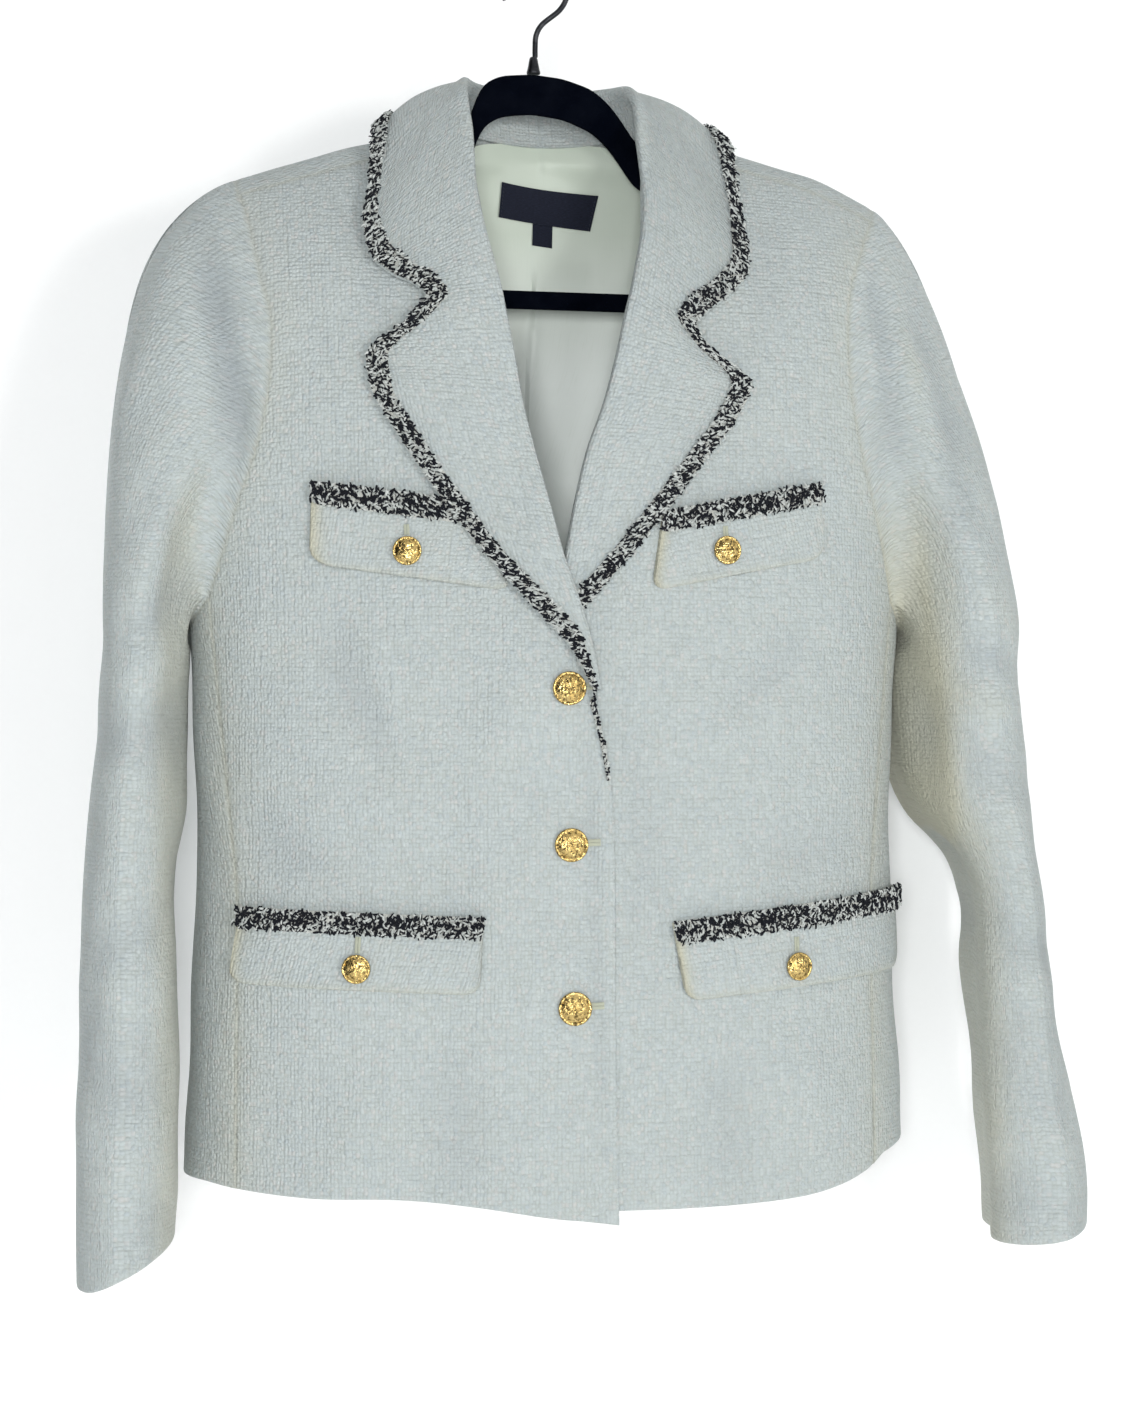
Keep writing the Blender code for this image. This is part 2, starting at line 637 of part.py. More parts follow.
def armhole_loop(side):
    """The armhole's seam as (x, z, face) from the shoulder, down the front and up the back."""
    column = side_of(side, 1, 2)
    loop = []
    for j in range(UPPER_ROWS + 1):
        root = SHOULDER_ROOT + (UNDERARM_ROOT - SHOULDER_ROOT) * j / UPPER_ROWS
        x = read(FRONT_ARMHOLE, root, column)
        loop.append(("face", x, read(RIDGE, x) - root ** 2, -1))
    loop += [("side", i / SIDE_COLUMNS) for i in range(1, SIDE_COLUMNS)]
    for j in range(BACK_UPPER_ROWS, 0, -1):
        root = -SHOULDER_ROOT + (UNDERARM_ROOT + SHOULDER_ROOT) * j / BACK_UPPER_ROWS
        x = read(BACK_ARMHOLE, root, column)
        loop.append(("face", x, read(RIDGE, x) - root ** 2, -1 if root < 0 else 1))
    return loop


def loop_point(side, spot, lift):
    if spot[0] == "side":
        return side_point(side, spot[1], 0, lift)
    return on_face(spot[1], spot[2], spot[3], lift)


def sleeve_ring(side, row, share):
    """Point of one sleeve ring: share 0 is its outer side, a quarter is its front."""
    z, outer_x, inner_x, middle_y, half_y = row
    cosine, sine = math.cos(2 * math.pi * share), math.sin(2 * math.pi * share)
    across = 0.5 + 0.5 * math.copysign(abs(cosine) ** SLEEVE_SQUARE, cosine)
    forward = math.copysign(abs(sine) ** SLEEVE_SQUARE, sine)
    inner_rise, outer_rise = side_of(side, CUFF_RIGHT, CUFF_LEFT)
    rise = inner_rise * (1 - across) ** 1.5 + outer_rise * across ** 3
    rise *= smooth(z, *CUFF_RISE_FADE)
    return Vector((inner_x + (outer_x - inner_x) * across, middle_y - half_y * forward, z + rise))


def sleeve_grid(side):
    """Rings from the armhole's seam down to the cuff."""
    away = side_of(side, -1, 1)
    rows = side_of(side, SLEEVE_RIGHT, SLEEVE_LEFT)
    loop = armhole_loop(side)
    seam = [loop_point(side, spot, 0.0) for spot in loop]
    steps = [(seam[i] - seam[i - 1]).length for i in range(len(seam))]
    length = sum(steps)
    shares = [sum(steps[1:i + 1]) / length for i in range(len(seam))]
    grid = [[] for _ in HEAD_SHARES]
    for i, (p, share) in enumerate(zip(seam, shares)):
        tangent = (seam[(i + 1) % len(seam)] - seam[i - 1]).normalized()
        normal = outward(p)
        leave = tangent.cross(normal) * -away
        arrive = sleeve_ring(side, rows[0], share)
        low = smooth(p.z, *UNDERARM_FADE)
        out_reach = HEAD_OUT[0] + (HEAD_OUT[1] - HEAD_OUT[0]) * low
        hang = (HEAD_DOWN[0] + (HEAD_DOWN[1] - HEAD_DOWN[0]) * low) * smooth(p.z, *HANG_FADE)
        fuller = side_of(side, *HEAD_FULLER) * smooth(p.z, *HEAD_FULL_FADE)
        out_reach += fuller
        down_reach = hang + HEAD_UNDERARM * low + fuller / 2
        controls = [p, p + leave * out_reach, arrive + Vector((0, 0, down_reach)), arrive]
        for k, t in enumerate(HEAD_SHARES):
            weights = ((1 - t) ** 3, 3 * t * (1 - t) ** 2, 3 * t * t * (1 - t), t ** 3)
            grid[k].append(sum((c * w for c, w in zip(controls, weights)), Vector()))
    for row in rows[1:]:
        grid.append([sleeve_ring(side, row, share) for share in shares])
    return grid, [loop_point(side, spot, -TWEED) for spot in loop]


def sleeve(side):
    outer, seam_inside = sleeve_grid(side)
    normals = grid_normals(outer, ring=True)
    away = side_of(side, -1, 1)
    normals = [[n * away for n in line] for line in normals]
    inner = inset(outer, normals, TWEED)
    inner[0] = seam_inside
    return wall("sleeve_" + side, outer, inner, "tweed", ring=True)


# Collar and lapels

FALL_SHARES = (0.14, 0.32, 0.52, 0.72, 0.88, 1.0)
FALL_BULGE = 18.0
ROLL_INNER = Vector((-3.4, -4.4))    # out and up from the crest: the roll's seen face, inside the neck
ROLL_OUTER = Vector((5.0, -3.0))     # the same, where the fall begins
ROLL_HIDDEN = [Vector((-1.0, -4.6)), Vector((0.8, -2.5)), Vector((3.3, -4.9))]   # its hidden face
LAPEL_ROLL = [  # distance out from the roll and lift: seen face, then hidden face
    (0, -2.0, 2.4, -2.0), (0, -1.2, 2.4, -1.2), (0, -0.1, 2.4, -0.1), (0.8, 2.7, 2.55, 0.6),
]
LAPEL_FLAT = (2.8, 3.0)              # where its flat part begins, on the seen and the hidden face


def front_point(side, x, z, lift):
    carried = right_front_lift(x, z) if side == "right" else 0.0
    return on_face(x, z, -1, carried + lift)


def cleared(p, lift):
    """Push a point of the collar out until it stands clear of the body by lift."""
    for _ in range(6):
        normal = outward(p)
        short = lift - clearance(p, normal)
        if short <= 0:
            return p
        p = p + normal * short
    return p


def clearance(p, normal):
    """Distance of p outside the body along its normal; large when well clear."""
    if inside_measure(*p) <= 0:
        step, sign = 1.0, 1
    else:
        step, sign = 1.0, -1
    travelled = 0.0
    q = p.copy()
    for _ in range(60):
        if (inside_measure(*q) > 0) != (inside_measure(*p) > 0):
            break
        q = q + normal * (sign * step)
        travelled += step
    low, high = max(travelled - step, 0.0), travelled
    for _ in range(12):
        middle = (low + high) / 2
        same = (inside_measure(*(p + normal * (sign * middle))) > 0) == (inside_measure(*p) > 0)
        low, high = (middle, high) if same else (low, middle)
    return -sign * (low + high) / 2


def stand_section(rows, k):
    """Section with a stand: up its inside, over a rounded roll and down the fall."""
    foot, crest, end = rows[k]
    ahead, behind = rows[min(k + 1, len(rows) - 1)][1], rows[max(k - 1, 0)][1]
    along = (ahead - behind).normalized()
    if k == 0:
        along = Vector((math.copysign(1, along.x), 0, 0))
    out = end - foot
    out.z = 0
    out = (out - along * out.dot(along)).normalized()
    up = along.cross(out)
    up *= math.copysign(1, up.z)
    start = crest + out * ROLL_OUTER.x + up * ROLL_OUTER.y
    middle = foot.lerp(crest, 0.5)
    points = [foot, middle, crest + out * ROLL_INNER.x + up * ROLL_INNER.y, crest, start]
    hidden = [foot + out * COLLAR, middle + out * COLLAR]
    hidden += [crest + out * spot.x + up * spot.y for spot in ROLL_HIDDEN]
    lift = LAPEL_LIFT + SHOULDER_PUFF * math.sin(math.pi * k / len(rows))
    for share in FALL_SHARES:
        bulge = (out * 0.6 + up * 0.8) * FALL_BULGE * share * (1 - share)
        points.append(cleared(start.lerp(end, share) + bulge, lift))
    return points, hidden


def lapel_section(side, roll, edge, wall_lift):
    """Section without a stand: from inside the front's edge, round the roll and out over the front.

    A wall_lift of 0 gives its visible face, and COLLAR the face that lies on the front.
    """
    flat = Vector((edge[0] - roll[0], 0, edge[2] - roll[2]))
    width = flat.length
    flat = flat.normalized()
    hidden = wall_lift / COLLAR

    def at(distance, lift):
        return front_point(side, roll[0] + flat.x * distance, roll[2] + flat.z * distance, lift)

    points = []
    for seen_at, seen_lift, hidden_at, hidden_lift in LAPEL_ROLL:
        distance = seen_at + (hidden_at - seen_at) * hidden
        points.append(at(distance, seen_lift + (hidden_lift - seen_lift) * hidden))
    start = LAPEL_FLAT[0] + (LAPEL_FLAT[1] - LAPEL_FLAT[0]) * hidden
    for share in (0.0,) + FALL_SHARES:
        points.append(at(start + (width - start) * share, LAPEL_LIFT - wall_lift))
    return points


def stand_rows(table):
    """The sections that have a stand, with one more between each two."""
    rows = []
    for step in range(2 * STAND_ROWS - 1):
        key = step / 2
        points = []
        for part in range(3):
            values = []
            for axis in range(3):
                values.append(read([(k, table[k][part][axis]) for k in range(STAND_ROWS)], key))
            points.append(Vector(values))
        rows.append(points)
    return rows


def collar_grid(side):
    table = side_of(side, COLLAR_RIGHT, COLLAR_LEFT)
    rows = stand_rows(table)
    grid = [stand_section(rows, k)[0] for k in range(len(rows))]
    for _, roll, edge in table[STAND_ROWS:]:
        grid.append(lapel_section(side, roll, edge, 0.0))
    return grid


def collar_hidden(side, outer):
    """The collar's face that lies against the body."""
    table = side_of(side, COLLAR_RIGHT, COLLAR_LEFT)
    inner = inset(outer, collar_normals(side, outer), COLLAR)
    rows = stand_rows(table)
    first = len(rows)
    for k in range(first):
        turned = stand_section(rows, k)[1]
        inner[k][:len(turned)] = turned
    for k, (_, roll, edge) in enumerate(table[STAND_ROWS:], first):
        inner[k] = lapel_section(side, roll, edge, COLLAR)
    return inner


def collar_normals(side, grid):
    """Outward normals, square to the centre back where the two halves meet."""
    away = side_of(side, 1, -1)
    normals = [[n * away for n in line] for line in grid_normals(grid, ring=False)]
    normals[0] = [Vector((0, n.y, n.z)).normalized() for n in normals[0]]
    return normals


def collar(side):
    outer = collar_grid(side)
    return wall("collar_" + side, outer, collar_hidden(side, outer), "tweed")


def collar_braid(side):
    """Braid along the outer edge, on top of the collar; on the right it runs on down the edge."""
    grid = collar_grid(side)
    normals = collar_normals(side, grid)
    last = side_of(side, len(grid), STAND_ROWS - 1 + LEFT_BRAID_END)
    under, over = [], []
    for line, row in list(zip(grid, normals))[:last]:
        fall = line[-len(FALL_SHARES):]
        length = sum((b - a).length for a, b in zip(fall, fall[1:]))
        width = min(COLLAR_BRAID_WIDTH, 0.7 * length)
        middle = min((line[-1] - line[-2]).length, 0.6 * width)
        spots = [point_along(line, row, d) for d in (0.0, middle, width)]
        lift = BRAID_LIFT if len(under) >= 2 * STAND_ROWS - 1 else SHOULDER_BRAID_LIFT
        under.append([p + n * lift for p, n in spots])
        over.append([p + n * (lift + BRAID) for p, n in spots])
    if side == "right":
        for z, width in RIGHT_BRAID_TAIL:
            edge_x = read(FRONT_EDGES, z)
            spots = [edge_x - width * share for share in (1.0, 0.5, 0.0)]
            under.append([front_point(side, x, z, BRAID_LIFT) for x in spots])
            over.append([front_point(side, x, z, BRAID_LIFT + BRAID) for x in spots])
    return wall("braid_collar_" + side, over, under, "braid")


def point_along(line, row, distance):
    """Point and normal at a distance back from a section's outer edge."""
    for k in range(len(line) - 1, 0, -1):
        step = (line[k - 1] - line[k]).length
        if distance <= step:
            t = distance / step
            return line[k].lerp(line[k - 1], t), row[k].lerp(row[k - 1], t).normalized()
        distance -= step
    return line[0], row[0]


# Flaps, buttons and label

def flap_spot(name, across, down):
    """x and z of a point of a flap, with its lower corners rounded off."""
    a, b, c, d = (Vector(corner) for corner in FLAPS[name])
    top, bottom = a.lerp(b, across), c.lerp(d, across)
    near_end = min(across, 1 - across) * (b - a).length
    lost = FLAP_ROUND - math.sqrt(max(FLAP_ROUND ** 2 - max(FLAP_ROUND - near_end, 0) ** 2, 0))
    bottom = bottom + (top - bottom).normalized() * lost
    return top.lerp(bottom, down)


def on_panel(name, spot, lift):
    x, z = spot
    carried = right_front_lift(x, z) if name.endswith("right") else 0.0
    return on_face(x, z, -1, carried + lift)


FLAP_ACROSS = (0.0, 0.018, 0.055, 0.12, 0.24, 0.38, 0.5, 0.62, 0.76, 0.88, 0.945, 0.982, 1.0)
FLAP_DOWN = (0.0, 0.25, 0.5, 0.75, 1.0)


def flap(name):
    def grid(lift):
        return [[on_panel(name, flap_spot(name, u, v), lift) for u in FLAP_ACROSS] for v in FLAP_DOWN]
    return wall(name, grid(FLAP_LIFT), grid(FLAP_LIFT - TWEED), "tweed", gap=0.0)


def flap_braid(name):
    a, c = Vector(FLAPS[name][0]), Vector(FLAPS[name][2])
    band = BRAID_BAND / (a - c).length

    def grid(lift):
        downs = (0.0, band / 2, band)
        return [[on_panel(name, flap_spot(name, u, v), lift) for u in FLAP_ACROSS] for v in downs]
    low = FLAP_LIFT + BRAID_LIFT
    braid_name = name.replace("chest_flap", "braid_chest").replace("pocket_flap", "braid_pocket")
    return wall(braid_name, grid(low + BRAID), grid(low), "braid", gap=0.0)


BUTTON_PROFILE = [  # radius and height, as shares of the button's radius
    (0.86, 0.0), (1.0, 0.12), (0.97, 0.26), (0.82, 0.27), (0.55, 0.42), (0.22, 0.50),
]
BUTTON_SIDES = 12


def button(name, side, spot, radius, lift):
    """A domed metal button with a raised rim, turned about the cloth's own normal."""
    x, z = spot
    seat = front_point(side, x, z, lift)
    axis = outward(seat)
    turn = Vector((0, 0, 1)).rotation_difference(axis).to_matrix()
    bm = bmesh.new()
    loops = []
    for r, h in BUTTON_PROFILE:
        at_height = Matrix.Translation((0, 0, radius * h))
        made = bmesh.ops.create_circle(bm, segments=BUTTON_SIDES, radius=radius * r, matrix=at_height)
        loops.append(made["verts"])
    for lower, upper in zip(loops, loops[1:]):
        edges = [e for v in lower for e in v.link_edges if e.other_vert(v) in lower]
        edges += [e for v in upper for e in v.link_edges if e.other_vert(v) in upper]
        bmesh.ops.bridge_loops(bm, edges=list(set(edges)))
    bmesh.ops.contextual_create(bm, geom=loops[0])
    bmesh.ops.contextual_create(bm, geom=loops[-1])
    for vert in bm.verts:
        vert.co = turn @ vert.co + seat
    return add_object(name, bm, "gold")


def slip(name, corners, lift, columns):
    """A woven slip lying on the lining."""
    a, b, c, d = (Vector(corner) for corner in corners)

    def grid(out):
        rows = []
        for down in (0.0, 0.5, 1.0):
            line = []
            for i in range(columns + 1):
                u = i / columns
                x, z = a.lerp(b, u).lerp(c.lerp(d, u), down)
                line.append(on_face(x, z, 1, out))
            rows.append(line)
        return rows
    return wall(name, grid(lift), grid(lift - LABEL_WALL), "label", gap=0.0)


# Hanger

def closed_sweep(name, sections, finish):
    """A solid through rings of points, with both ends filled."""
    bm, _ = mapped_grid(sections, ring=True)
    bmesh.ops.holes_fill(bm, edges=[e for e in bm.edges if e.is_boundary])
    return add_object(name, bm, finish)


def arm_sections():
    """Rounded upright sections of the arms and arch, right to left."""
    sections = []
    for x, top, depth in ARMS:
        top = read(RIDGE, x) - HANGER_DROP if top is NONE else top
        half = HANGER_WALL / 2
        ring = []
        side = [(y, z if k < 2 else z - depth) for k, (y, z) in enumerate(ARM_SECTION)]
        for y, z in side + [(-y, z) for y, z in reversed(side)]:
            ring.append(Vector((x, y * half, top + z)))
        sections.append(ring)
    return sections


def bar_sections():
    """Sections of the flat bar below the arms, bent up at its ends."""
    route = [Vector((x, 0, z)) for x, z in BAR_ROUTE]
    sections = []
    for i, p in enumerate(route):
        along = (route[min(i + 1, len(route) - 1)] - route[max(i - 1, 0)]).normalized()
        up = Vector((-along.z, 0, along.x))
        ring = []
        for y, w in BAR_SECTION:
            ring.append(p + up * (w * BAR_DEPTH) + Vector((0, y * BAR_WALL / 2, 0)))
        sections.append(ring)
    return sections


def hook():
    """Bent wire: a straight stem, a short bend and most of a circle."""
    radius = HOOK_RADIUS + WIRE_RADIUS
    points = [(0.0, STEM_FOOT)] + STEM_BEND
    for i in range(CIRCLE_STEPS + 1):
        a = math.radians(CIRCLE_START + (HOOK_TIP_TURN - CIRCLE_START) * i / CIRCLE_STEPS)
        points.append((radius * math.cos(a), -HOOK_RADIUS + radius * math.sin(a)))
    route = [Vector((x, 0, z)) for x, z in points]
    sections = []
    for i, p in enumerate(route):
        along = (route[min(i + 1, len(route) - 1)] - route[max(i - 1, 0)]).normalized()
        side = Vector((-along.z, 0, along.x))
        ring = []
        for k in range(WIRE_SIDES):
            a = 2 * math.pi * k / WIRE_SIDES
            ring.append(p + side * (WIRE_RADIUS * math.cos(a)) + Vector((0, WIRE_RADIUS * math.sin(a), 0)))
        sections.append(ring)
    return closed_sweep("hanger_hook", sections, "steel")


def ferrule():
    bm = bmesh.new()
    high = STEM_FOOT - 0.3
    bmesh.ops.create_cone(
        bm, cap_ends=True, segments=14, radius1=FERRULE_RADII[0], radius2=FERRULE_RADII[1],
        depth=high - FERRULE_FOOT, matrix=Matrix.Translation((-1.0, 0, (FERRULE_FOOT + high) / 2)),
    )
    return add_object("hanger_ferrule", bm, "velvet")


def build():
    for old in list(bpy.data.objects):
        bpy.data.objects.remove(old)
    front("right", right_front_lift)
    front("left", no_lift)
    back()
    back_lining()
    for side in ("right", "left"):
        side_panel(side)
        sleeve(side)
        collar(side)
        collar_braid(side)
    for name in FLAPS:
        flap(name)
        flap_braid(name)
    for i, spot in enumerate(FRONT_BUTTONS, 1):
        button(f"front_button_{i}", "right", spot, FRONT_BUTTON_RADIUS, BUTTON_SEAT)
    for i, spot in enumerate(FLAP_BUTTONS, 1):
        side = "right" if spot[0] < CENTRE_X else "left"
        button(f"flap_button_{i}", side, spot, FLAP_BUTTON_RADIUS, FLAP_LIFT + BUTTON_SEAT)
    lining_face = -TWEED - LINING_GAP - SATIN
    slip("label", LABEL, lining_face - 1.0, 6)
    slip("size_tab", SIZE_TAB, lining_face - 1.0, 2)
    closed_sweep("hanger_body", arm_sections(), "velvet")
    closed_sweep("hanger_bar", bar_sections(), "velvet")
    hook()
    ferrule()


build()
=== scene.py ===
import math
import random

import bmesh
import bpy
import numpy as np
from mathutils import Matrix, Vector


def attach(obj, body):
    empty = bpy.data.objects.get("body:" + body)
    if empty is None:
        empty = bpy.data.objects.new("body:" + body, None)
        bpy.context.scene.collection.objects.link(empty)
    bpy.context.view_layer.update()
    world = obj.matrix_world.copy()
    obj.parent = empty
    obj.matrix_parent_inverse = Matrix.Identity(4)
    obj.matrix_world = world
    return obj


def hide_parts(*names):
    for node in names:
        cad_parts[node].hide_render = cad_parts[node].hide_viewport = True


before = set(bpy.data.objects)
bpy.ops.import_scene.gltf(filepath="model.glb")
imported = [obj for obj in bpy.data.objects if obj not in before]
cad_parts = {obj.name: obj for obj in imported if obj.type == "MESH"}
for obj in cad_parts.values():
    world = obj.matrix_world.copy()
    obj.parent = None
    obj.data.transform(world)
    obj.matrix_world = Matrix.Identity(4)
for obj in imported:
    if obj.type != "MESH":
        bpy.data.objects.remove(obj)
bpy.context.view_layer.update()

# The looks of a short tweed jacket on a velvet hanger. Lengths below are in millimetres and become
# metres where each mesh is made. +Z is up and the jacket's front faces -Y.

MM = 0.001

# Cloth
TWEED = 2.2            # wall of the tweed
SATIN = 1.0            # wall of the lining
LINING_GAP = 2.2       # space between the back and its lining
LAPEL_LIFT = 3.7       # outer face of a lapel above the front that it lies on
LAP_LIFT = 3.0         # outer face of the right front above the left one
OVER_LAPEL_LIFT = 3.9  # further lift where it also covers the left lapel
FLAP_LIFT = 3.1        # outer face of a flap above its panel
LAP_RISE = (58, 9)     # the right front rises between these distances beyond the left one's edge
LAP_START = (-258, -354)   # heights between which the right front begins to rise
LAPEL_COVERED = (-495, -445)   # heights between which that further lift comes in, going up

# Body
CENTRE_X = 8.0         # middle of the body, beside the hook
ROUNDNESS = 2.3        # power of the body's rounded plan
FRONT_DEPTH = 88.0
BACK_DEPTH = 62.0
FALL_REACH = 100.0     # drop below the ridge over which the body fills out
TOP_REACH = 60.0       # the same for the flatter part near the ridge
TOP_SHARE = 0.6        # share of the depth that the flatter part keeps
NECK_HALF = 70.0       # half width of the neck's swell
NECK_BACK = 36.0       # how far the back neck stands off the hanger
NECK_FADE = 90.0       # height over which that fades down the back
NECK_Z = -105.0
RIDGE_EDGE = 0.05      # smallest drop below the ridge that is told apart

# Height of the shoulder ridge across the body
RIDGE = [  # x, z
    (-230, -160), (-198, -147), (-175, -138.5), (-140, -128), (-99, -116), (-56, -103),
    (-30, -99), (40, -99), (67, -104), (122, -115.5), (163, -126), (188, -136), (213, -148), (240, -162),
]
# Half width of the body at each height
WIDTH = [  # z, half width
    (-760, 217), (-720, 216), (-620, 211), (-520, 208), (-400, 213), (-330, 222), (-250, 245),
    (-160, 285), (-100, 300),
]
# Armholes, by the root of the drop below the ridge (negative in front of the ridge, on the back)
SHOULDER_ROOT = 3.46
UNDERARM_ROOT = 15.5
FRONT_ARMHOLE = [  # root, right x, left x
    (3.46, -176.5, 204), (6.2, -170, 193), (8.2, -165, 183), (9.8, -159.5, 179.5), (11.5, -161, 180.5),
    (13.0, -169, 188.5), (13.9, -178.5, 196), (14.8, -187, 204), (15.5, -194, 210),
]
BACK_ARMHOLE = [  # root, right x, left x
    (-3.46, -176.5, 204), (0, -178, 207), (3.46, -177, 206), (6.2, -173, 198), (8.2, -170, 191),
    (10, -168, 187), (11.5, -168, 186), (13, -173, 191), (14, -181, 198), (15.5, -193, 209),
]
# Seams of the side panels, measured from the body's middle
SIDE_SEAMS = [  # z, front seam, back seam
    (-386, 202, 201), (-480, 193, 186), (-560, 186, 178), (-640, 186.5, 176), (-740, 187, 176),
]
UNDERARM_DIP = 17.0    # how far the side panel's top dips below its corners
# Front edges: roll line of the lapel, then the edge below it
FRONT_EDGES = [  # z, right front, left front
    (-108, -50.1, 66.1), (-128, -47.1, 63.1), (-155, -44.1, 60.4), (-192, -36.8, 54.0),
    (-222, -30.8, 45.8), (-252, -26.2, 38.8), (-276, -22.4, 31.6), (-303, -16.2, 21.4),
    (-331, -9.2, 14.5), (-361, -1.4, 8.6), (-390, 8.8, 2.8), (-416, 16.0, -2.2), (-440, 20.4, -5.6),
    (-456, 24, -10), (-474, 28, -13), (-493, 31, -16), (-558, 33, -18), (-614, 33, -18.5), (-742, 35, -20),
]
# Hem by turn about the body: 0 is the front middle, 90 a side, 180 the back middle
HEM_RIGHT = [  # turn, z
    (-6, -742), (1, -737), (11, -729.5), (23.5, -725), (38, -725), (57, -722), (72, -719.5),
    (110, -722), (180, -726),
]
HEM_LEFT = [  # turn, z
    (-8, -733), (17, -734), (36, -732), (46, -728), (56, -721), (63, -713), (90, -708),
    (120, -716), (180, -726),
]

# Sections of the collar with a stand, from the centre back to the front of the shoulder
STAND_RIGHT = [  # base xyz, roll xyz, edge xyz
    ((8, 30.5, -107), (8, 46, -69), (8, 45, -129)),
    ((-15, 22.5, -107), (-15.5, 40, -69.5), (-32, 43, -129)),
    ((-35, 8.5, -107), (-34, 24, -70.5), (-70, 27, -127)),
    ((-45.5, 1, -107), (-42, 5, -72), (-94, 0, -107)),
    ((-46.2, -8, -109), (-43, -14, -86), (-102, -34, -147)),
    ((-45, -20, -118.5), (-42, -30, -111), (-107, -46, -171)),
]
STAND_LEFT = [
    ((8, 30.5, -107), (8, 46, -69), (8, 45, -129)),
    ((31, 22.5, -107), (31.5, 40, -69.5), (48, 43, -129)),
    ((51, 8.5, -107), (50, 24, -71), (87, 27, -128)),
    ((61.5, 1, -107), (58, 5, -74), (113, 0, -108)),
    ((62.2, -8, -109), (58.5, -14, -87), (114, -34, -147)),
    ((61, -20, -118.5), (57.5, -30, -111), (116, -46, -172)),
]
# Sections of the lapel below them, down to its break, lying on the front
LAPEL_RIGHT = [  # x and z of the roll, x and z of the edge
    (-40.5, -143, -104, -190), (-37, -172, -92, -203), (-32.5, -193, -80, -209), (-29, -209, -73, -216),
    (-26.5, -224, -84, -230), (-22.5, -248, -107, -251), (-18.5, -274, -105, -267),
    (-12, -303, -88, -298), (-5, -331, -70, -325), (3, -362, -46, -357), (13, -391, -15, -393),
    (20, -416, 6, -416), (24, -439, 17, -437),
]
LAPEL_LEFT = [
    (56.8, -143, 117, -194), (54, -172, 104, -211), (49.8, -191, 91, -221), (46, -207, 82.5, -232),
    (41.8, -222, 94, -247), (35, -250, 115, -264), (27.8, -275, 106, -283), (17.5, -303, 88, -306),
    (10.5, -331, 68, -331), (4.8, -360, 45, -359), (2.4, -373, 33, -373), (-1, -389, 18, -390),
    (-6, -415, 4, -408), (-9, -437, -6, -431),
]
NOTCH_ROW = 5          # section of the lapel at its notch's upper corner
SHOULDER_PUFF = 4.5    # how much further the collar stands off over the shoulder
COLLAR_BRAID_WIDTH = 12.5
BRAID_COLUMNS = 7      # points across the braid
BRAID_ARCH = 1.5       # height of the flat braid's arch
BRAID_LIFTS = (0.2, 0.4)   # its inner and outer face above the cloth at its edges
LEFT_BRAID_END = 22.3  # section of the left collar at which its braid ends
RIGHT_BRAID_TAIL = [  # z, width of the narrow tufts that run on down the right front's edge
    (-446, 6.0), (-460, 4.5), (-476, 4.0), (-490, 3.5),
]

# Sleeves, from the upper arm to the cuff
SLEEVE_RIGHT = [  # z, outer x, inner x, middle y, half depth
    (-430, -254.5, -210.5, -2, 64), (-490, -260.5, -211.5, -4, 61), (-550, -265, -212.5, -9, 58),
    (-615, -267, -211, -16, 54), (-680, -268, -211, -24, 50), (-735, -268.5, -212, -30, 46),
    (-774, -268, -213, -34, 44),
]
SLEEVE_LEFT = [
    (-430, 288, 230, -2, 64), (-490, 295, 236, -4, 60), (-550, 299, 266, -9, 56),
    (-615, 306, 270, -16, 53), (-680, 314, 272, -24, 49), (-730, 324, 273, -30, 45),
    (-766, 324, 274, -34, 43),
]
CUFF_RIGHT = (26.0, 0.0)    # how much higher the cuff's inner and outer side end
CUFF_LEFT = (3.0, 14.0)
SLEEVE_SQUARE = 0.62   # power of the sleeve's rounded section, 1 for an oval

# Pocket flaps: corners in x, z, upper outer, upper inner, lower outer, lower inner
FLAPS = {
    "chest_flap_right": ((-137, -322), (-61, -332), (-138, -368), (-24, -384)),
    "chest_flap_left": ((157, -319), (61, -338), (160, -362), (54, -383)),
    "pocket_flap_right": ((-176, -562), (-42, -567), (-182, -605), (-44, -610)),
    "pocket_flap_left": ((214, -556), (66, -571), (216, -604), (74, -616)),
}
FLAP_DEPTH = 44.0
FLAP_ROUND = 9.0       # how far the flap's lower corners are rounded off
BRAID_SHARE = 12 / 45  # share of a flap's height that its braid covers
BRAID_START = -0.02    # where the braid begins by the same share, a little above the top edge
BRAID_PITCH = 1.5      # from one point of its length to the next

# Buttons
FRONT_BUTTONS = [(5.4, -438), (7, -526), (9, -618)]
FLAP_BUTTONS = [(-84, -361), (98, -359), (-112, -595), (141, -598)]
FRONT_BUTTON_RADIUS = 9.6
FRONT_BUTTON_LIFT = 1.4    # foot of a button above the cloth under it
FLAP_BUTTON_RADIUS = 8.2
FLAP_BUTTON_LIFT = 1.2

# Label: corners in x, z on the lining, upper right side first
LABEL = ((-16.6, -130), (42.5, -137), (-18, -150.5), (38.5, -157.5))
STITCHES = 9           # down each end of the label, and how far in from the end
STITCH_INSET = 1.3
SIZE_TAB = ((3.5, -152.6), (15.7, -154), (3.5, -166), (15.7, -167.5))

